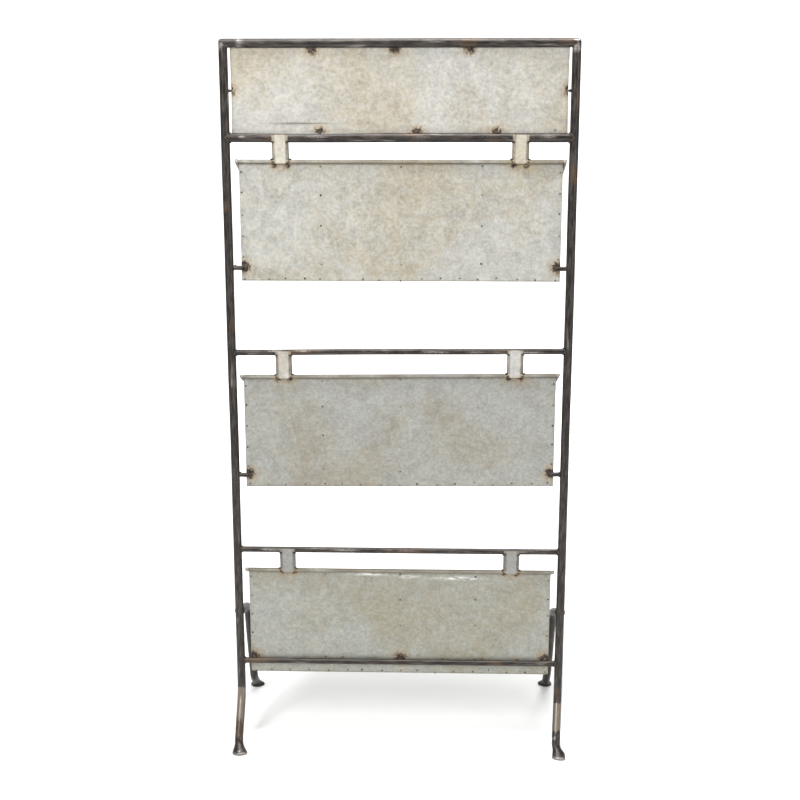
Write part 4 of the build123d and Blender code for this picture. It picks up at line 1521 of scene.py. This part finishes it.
    def divider(self, number: int) -> None:
        """Build one divider: a four-sided plate between the back, the floor and the sloped front.

        Args:
            number: Which divider, from 1 at the left.
        """
        x = -self.half + number * self.half / 2
        base = self.floor + self.thick
        gap = 0.0004
        slope = (self.top[0] - self.foot[0]) / (self.top[1] - self.foot[1])
        high = self.rim_z - self.drop - self.divider_drop
        rear = self.inner_y + self.thick
        rear_low = np.array([rear, base])
        front_low = np.array([self.foot[0] + (base - self.floor) * slope - gap, base])
        front_high = np.array([self.foot[0] + (high - self.floor) * slope - gap, high])
        rear_high = np.array([rear, self.rim_height(rear) - self.divider_drop])
        u, v = np.meshgrid(np.linspace(0, 1, 44), np.linspace(0, 1, 54))
        u, v = u[..., None], v[..., None]
        flat = (1 - u) * (1 - v) * rear_low + u * (1 - v) * front_low
        flat = flat + u * v * front_high + (1 - u) * v * rear_high
        plate = np.concatenate([np.full(flat.shape[:2] + (1,), x), flat], -1)
        inside = np.sin(math.pi * u[..., 0]) * np.sin(math.pi * v[..., 0])
        plate[..., 0] += 0.0007 * ripple(plate, 0.13, 600 + self.seed + number) * inside
        skin = Skin()
        # Painted shade along the divider's foot on the floor.
        grime = 0.35 * np.exp(-(plate[..., 2] - base) / 0.006)
        skin.add_slab(self.settle(plate), EAST, self.thick, {"grime": grime})
        self.add_flanges(skin, x, 1, base)
        node = self.name(f"divider_{number}")
        skin.build(f"{node}_sheet", self.finish, "galvanised_sheet", [node])

    def wires(self) -> None:
        """Build the four wires inside the rolled rims, with slightly domed ends."""
        skin = Skin()
        reach = self.half - self.trim
        places = ((self.rear_y, self.rim_z), (self.front_y, self.rim_z - self.drop))
        lines = [(np.array([-reach, y, z]), np.array([reach, y, z])) for y, z in places]
        lines += [self.end_rim_axis(side) for side in Side]
        for start, end in lines:
            path = run_of(start, end, 0.02)
            way = tangents(path)[0]
            path = np.vstack([path[0] - way * 0.0004, path, path[-1] + way * 0.0004])
            size = np.full(len(path), self.wire)
            size[[0, -1]] *= 0.75
            grid = rings(path, UP, size, size, 16)
            skin.add_tube(self.settle(grid), {"grime": np.full(grid.shape[:2], 0.15)})
        skin.build(self.name("edge_wires"), self.finish, "bare_steel", [self.name("rim_wires")])

    def spot_marks(self) -> None:
        """Build the spot welds as small burnt domes on the panel's rear face."""
        skin = Skin()
        draw = np.random.default_rng(700 + self.seed)
        angle = np.linspace(0, 2 * math.pi, 9, endpoint=False)
        shape = np.array([(1.0, -0.0002), (1.0, 0.0001), (0.72, 0.00042), (0.35, 0.00030)])
        for x, z in self.spots():
            size = draw.uniform(0.0013, 0.0022)
            grid = np.zeros((len(shape), len(angle), 3))
            grid[..., 0] = x + size * shape[:, 0, None] * np.cos(angle)
            grid[..., 1] = self.back_y - self.thick / 2 - shape[:, 1, None]
            grid[..., 2] = z + size * shape[:, 0, None] * np.sin(angle) * draw.uniform(0.8, 1.3)
            skin.add_tube(self.settle(grid))
        skin.build(self.name("spot_marks"), self.finishes.weld, "weld", [self.name("spot_welds")])

    def strap_line(self, side: Side) -> tuple[Array, Array, float]:
        """Foot of a strap, its direction and its length.

        Args:
            side: Which strap.

        Returns:
            The foot, the unit direction and the length.
        """
        top = np.array([side.value * self.hanger_x, self.frame_y - self.bar_radius, self.bar_z])
        low = np.array([side.value * self.hanger_x, self.rear_y - self.rim, self.rim_z])
        way = (top - low) / np.linalg.norm(top - low)
        lap = self.rim - 0.0008
        return low - way * lap, way, float(np.linalg.norm(top - low)) + self.climb + lap

    def hanger(self, side: Side) -> None:
        """Build a folded strap: a flat web with two wings that stop short of the round bars.

        The section is (-w - s, d), (-w, 0), (w, 0), (w + s, d) with small bends, and d shrinks to the room
        behind the bar or the rim, which is the bar's face y - sqrt(r^2 - h^2) less the web's own y.

        Args:
            side: Which strap.
        """
        foot, way, length = self.strap_line(side)
        half, wing = self.web / 2, self.spread
        folds = [(-half - wing, 1, 0), (-half, 0, 0), (half, 0, 0), (half + wing, 1, 0)]
        flat = rounded_path(folds, [0.0025, 0.0025], 0.0011)
        level = np.linspace(0, length, 46)
        axis = foot + way * level[:, None]
        room = np.full(len(level), self.depth)
        bar = (self.frame_y, self.bar_z, self.bar_radius)
        for y, z, radius in (bar, (self.rear_y, self.rim_z, self.rim)):
            h = np.clip(np.abs(axis[:, 2] - z) / radius, 0, 1)
            face = y - radius * np.sqrt(1 - h**2)
            behind = np.minimum(room, np.maximum(face - axis[:, 1], 0.0))
            room = np.where(np.abs(axis[:, 2] - z) < radius, behind, room)
        forward = np.cross(way, EAST)
        section_y = np.clip(flat[:, 1], 0, None)
        web_bend = section_y[None, :] * np.minimum(1, room / self.depth)[:, None] * self.depth
        centre = axis[:, None, :] + flat[None, :, 0, None] * EAST
        centre = centre + (web_bend - self.thick / 2)[..., None] * forward
        slope = np.gradient(web_bend, axis=1) / np.gradient(flat[:, 0])[None, :]
        normal = forward - slope[..., None] * EAST
        normal /= np.linalg.norm(normal, axis=-1, keepdims=True)
        centre[..., 1] += 0.0003 * ripple(centre, 0.05, 800 + self.seed + side.value)
        share = (level / length)[:, None] * np.ones(len(flat))
        outer = smooth(np.abs(flat[:, 0]), half - 0.002, half + 0.001)[None, :]
        heat = 0.75 * np.exp(-share / 0.07) * (0.35 + 0.65 * outer)
        heat += 0.5 * np.exp(-(1 - share) / 0.05) * (0.2 + 0.8 * outer)
        lip = smooth(np.abs(flat[:, 0]), half + wing * 0.55, half + wing * 0.95)[None, :]
        # Painted shade on the slanted wings, deepest at their edges, uneven along the strap.
        grime = 0.50 * outer + 0.50 * lip + 0.1 * ripple(centre, 0.03, 23)
        skin = Skin()
        skin.add_slab(self.settle(centre), normal, self.thick, {"burn": heat, "grime": grime})
        node = self.name(f"{side.word}_hanger")
        skin.build(self.name(f"{side.word}_strap"), self.strap, "strap_steel", [node])

    def stub(self, side: Side) -> None:
        """Build the short rod from the upright to the panel's lower corner.

        Args:
            side: Which side.
        """
        sign = side.value
        z = self.floor + self.stub_rise
        y = self.inner_y - self.thick - self.stub_radius
        inner = sign * (self.half - self.lap)
        outer = sign * (self.post_x - 0.004)
        path = run_of(np.array([inner, y, z]), np.array([outer, y, z + 0.001]), 0.002)
        size = np.full(len(path), self.stub_radius)
        size[0] *= 0.8
        grid = rings(path, UP, size, size, 20)
        burnt = np.exp(-np.abs(grid[..., 0] - inner) / 0.006)
        burnt += 0.6 * np.exp(-np.abs(grid[..., 0] - outer) / 0.008)
        ground = 0.2 * smooth(y - grid[..., 1], 0.0, 0.004)
        skin = Skin()
        skin.add_tube(grid + self.tilt * sign * UP, {"soot_and_shade": burnt, "ground": ground})
        node = self.name(f"{side.word}_stub")
        skin.build(f"{node}_rod", self.finishes.across, "bare_steel", [node])

    def beads(self) -> None:
        """Build the weld beads on the straps, the stubs and, on the lowest pocket, along the foot bar."""
        skin = Skin()
        wing = self.web / 2 + self.spread
        for side in Side:
            for hand in (-1, 1):
                x = side.value * self.hanger_x
                seed = self.seed + 7 * side.value + hand
                rim_top = self.rim_z + self.rim - 0.0008
                low = np.array([x + hand * (wing + 0.0005), self.rear_y - 0.001, rim_top])
                skin.add_tube(self.settle(blob(low, (0.0046, 0.0030, 0.0030), seed)))
                spatter = low + np.array([hand * -0.002, -0.0036, -0.0042])
                skin.add_tube(self.settle(blob(spatter, (0.0030, 0.0014, 0.0018), seed + 30)))
                rear, under = self.frame_y - self.bar_radius * 0.72, self.bar_z - self.bar_radius * 0.82
                high = np.array([x + hand * (wing - 0.0025), rear, under])
                skin.add_tube(self.settle(blob(high, (0.0046, 0.0026, 0.0030), seed + 60)))
            if self.tied:
                z = self.floor + self.stub_rise
                y = self.inner_y - self.thick
                inner = (side.value * (self.half - self.lap - 0.001), y - 0.0016, z)
                outer = (side.value * (self.post_x - 0.0098), y - self.stub_radius, z + 0.001)
                skin.add_tube(self.settle(blob(inner, (0.0044, 0.0028, 0.0062), 21 + side.value)))
                skin.add_tube(self.settle(blob(outer, (0.0032, 0.0052, 0.0056), 24 + side.value)))
        if self.level is Level.LOWER:
            _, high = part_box("foot_crossbar")
            for number, x in enumerate((-self.half + 0.006, 0.002, self.half - 0.008)):
                bead = (x, self.inner_y - self.thick - 0.0016, high.z - 0.0016)
                skin.add_tube(self.settle(blob(bead, (0.0072, 0.0026, 0.0030), 240 + number)))
        skin.build(self.name("weld_beads"), self.finishes.weld, "weld", [self.name("pocket_welds")])

    def build(self) -> None:
        """Build every piece of the pocket."""
        self.back()
        self.tray()
        for side in Side:
            self.end(side)
            self.hanger(side)
            if self.tied:
                self.stub(side)
        for number in (1, 2, 3):
            self.divider(number)
        self.wires()
        self.spot_marks()
        self.beads()


# ---------------------------------------------------------------------------------------------
# Studio
# ---------------------------------------------------------------------------------------------


@dataclass(frozen=True)
class Softbox:
    """A rectangular area light aimed at a point."""

    name: str
    place: Point
    aim: Point
    size: tuple[float, float]
    watts: float

    def make(self) -> None:
        """Build the light."""
        lamp = bpy.data.lights.new(self.name, "AREA")
        lamp.shape = "RECTANGLE"
        lamp.size, lamp.size_y = self.size
        lamp.energy = self.watts
        piece = bpy.data.objects.new(self.name, lamp)
        bpy.context.scene.collection.objects.link(piece)
        piece.location = self.place
        way = np.asarray(self.aim) - np.asarray(self.place)
        piece.rotation_euler = Vector(way).to_track_quat("-Z", "Y").to_euler()


@dataclass
class Studio:
    """Pale seamless floor, soft light and the camera."""

    finishes: Finishes
    lens: float = 55.89
    place: Point = (0.080, -2.7541, 1.3955)
    yaw: float = 1.688
    pitch: float = 12.569
    floor_reach: float = 14.0
    wall_y: float = 7.0
    curve: float = 3.0

    def floor(self) -> None:
        """Build the floor, which curves up into a wall a long way behind the rack."""
        corners = [(0.0, -self.floor_reach, 0.0), (0.0, self.wall_y, 0.0), (0.0, self.wall_y, 9.0)]
        line = rounded_path(corners, [self.curve], 0.5)
        across = np.linspace(-self.floor_reach, self.floor_reach, 12)
        grid = np.zeros((len(line), len(across), 3))
        grid[..., 0] = across
        grid[..., 1:] = line[:, None, 1:]
        rows, columns, _ = grid.shape
        index = np.arange(rows * columns).reshape(rows, columns)
        faces = np.stack([index[:-1, :-1], index[:-1, 1:], index[1:, 1:], index[1:, :-1]], -1).reshape(-1, 4)
        mesh = bpy.data.meshes.new("seamless_floor")
        mesh.from_pydata(grid.reshape(-1, 3).tolist(), [], faces.tolist())
        mesh.shade_smooth()
        mesh.materials.append(self.finishes.paper)
        piece = bpy.data.objects.new("seamless_floor", mesh)
        bpy.context.scene.collection.objects.link(piece)

    def world(self) -> None:
        """Fill the surroundings with pale even light."""
        world = bpy.data.worlds.new("studio_air")
        bpy.context.scene.world = world
        world.use_nodes = True
        back = world.node_tree.nodes["Background"]
        back.inputs["Color"].default_value = (1.0, 1.0, 1.0, 1.0)
        seen = world.node_tree.nodes.new("ShaderNodeLightPath").outputs["Is Camera Ray"]
        power = world.node_tree.nodes.new("ShaderNodeMapRange")
        power.inputs["To Min"].default_value = 0.46
        power.inputs["To Max"].default_value = 1.0
        world.node_tree.links.new(seen, power.inputs["Value"])
        world.node_tree.links.new(power.outputs["Result"], back.inputs["Strength"])

    def camera(self) -> None:
        """Place the camera level with the upper pocket and turned slightly to the left."""
        lens = bpy.data.cameras.new("studio_camera")
        lens.sensor_width = 36.0
        lens.lens = self.lens
        lens.clip_end = 100.0
        piece = bpy.data.objects.new("studio_camera", lens)
        bpy.context.scene.collection.objects.link(piece)
        piece.location = self.place
        piece.rotation_euler = (math.radians(90 - self.pitch), 0.0, math.radians(self.yaw))
        bpy.context.scene.camera = piece

    def build(self) -> None:
        """Build the whole studio."""
        self.floor()
        self.world()
        self.camera()
        Softbox("key_softbox", (-1.7, -3.0, 3.1), (0.0, 0.0, 0.9), (1.1, 2.0), 96.0).make()
        Softbox("fill_softbox", (2.8, -2.4, 1.6), (0.0, 0.0, 0.8), (0.8, 2.2), 20.0).make()
        Softbox("top_softbox", (0.0, -0.5, 3.6), (0.0, 0.1, 0.0), (1.6, 0.9), 88.0).make()
        Softbox("front_softbox", (1.2, 3.4, 2.6), (0.0, 0.0, 0.8), (1.8, 1.8), 60.0).make()
        view = bpy.context.scene.view_settings
        view.view_transform = "Standard"
        view.look = "None"


def pockets(finishes: Finishes, frame: TubeFrame) -> list[Pocket]:
    """The three pockets with their own stains, burns and dents.

    Args:
        finishes: The shared finishes.
        frame: The tube frame that they hang in.

    Returns:
        The pockets from the top down.
    """
    hanger = 0.252
    made: list[Pocket] = []
    settings = {
        Level.UPPER: {
            "finish": Galvanised("upper_sheet", shift=0.0, leaf=0.075),
            "strap": Galvanised(
                "upper_strap", light=(0.56, 0.53, 0.455), stain=(0.49, 0.44, 0.34), shift=1.3
            ),
            "bar": "sign_rail",
            "bar_radius": frame.radius,
            "climb": 0.0064,
            "tied": True,
            "shift": 0.0022,
        },
        Level.MIDDLE: {
            "finish": Galvanised(
                "middle_sheet", light=(0.325, 0.328, 0.303), stain=(0.280, 0.258, 0.205), shift=7.7
            ),
            "strap": Galvanised(
                "middle_strap", light=(0.50, 0.49, 0.47), stain=(0.42, 0.39, 0.33), shift=2.3
            ),
            "bar": "middle_crossbar",
            "bar_radius": frame.rod,
            "climb": 0.0034,
            "tied": True,
            "tilt": frame.middle_rise,
            "sag": 0.0014,
            "creases": (
                (-0.246, 0.792, -0.209, 0.640, 0.0022),
                (-0.336, 0.712, -0.326, 0.655, 0.0014),
                (0.255, 0.800, 0.275, 0.810, 0.0005),
            ),
        },
        Level.LOWER: {
            "finish": Galvanised(
                "lower_sheet",
                light=(0.325, 0.330, 0.298),
                stain=(0.280, 0.260, 0.198),
                stain_from=0.36,
                shift=12.9,
            ),
            "strap": Galvanised(
                "lower_strap", light=(0.285, 0.285, 0.272), stain=(0.245, 0.23, 0.20), shift=4.1
            ),
            "bar": "lower_crossbar",
            "sag": 0.0034,
            "bar_radius": frame.rod,
            "climb": 0.0034,
            "tied": False,
            "smears": (
                (-0.071, 0.397, 0.040, 0.0026),
                (0.020, 0.392, 0.020, 0.0022),
                (0.132, 0.389, 0.048, 0.0034),
            ),
        },
    }
    for number, (level, options) in enumerate(settings.items()):
        low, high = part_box(f"{level.value}_pocket_back")
        rim = high.z - 0.0086
        wings = [side * hanger + hand * 0.014 for side in (-1, 1) for hand in (-1, 1)]
        burns = [Burn(x, rim - 0.004, 0.0055, 0.017, 0.8) for x in wings]
        if options["tied"]:
            stubs = [side * (high.x - 0.007) for side in (-1, 1)]
            burns += [Burn(x, low.z + 0.0305, 0.0090, 0.021, 1.25) for x in stubs]
        else:
            _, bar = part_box("foot_crossbar")
            tacks = (-high.x + 0.006, 0.002, high.x - 0.008)
            burns += [Burn(x, bar.z + 0.001, 0.0105, 0.028, 1.1) for x in tacks]
            spots = (-0.22, -0.13, 0.1, 0.19, 0.27)
            burns += [Burn(x, bar.z - 0.001, 0.0040, 0.012, 0.6) for x in spots]
        choice = dict(options)
        finish, strap = choice.pop("finish").make(), choice.pop("strap").make()
        made.append(Pocket(level, finishes, finish, strap, seed=10 * number, burns=tuple(burns), **choice))
    return made


def main() -> None:
    """Load the CAD frame and build every sub-assembly in order."""
    logging.basicConfig(level=logging.INFO, format="%(name)s: %(message)s")
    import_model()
    finishes = Finishes()
    frame = TubeFrame(finishes)
    frame.build()
    SignPanel(finishes).build()
    for pocket in pockets(finishes, frame):
        pocket.build()
    Studio(finishes).build()


if __name__ == "__main__":
    main()
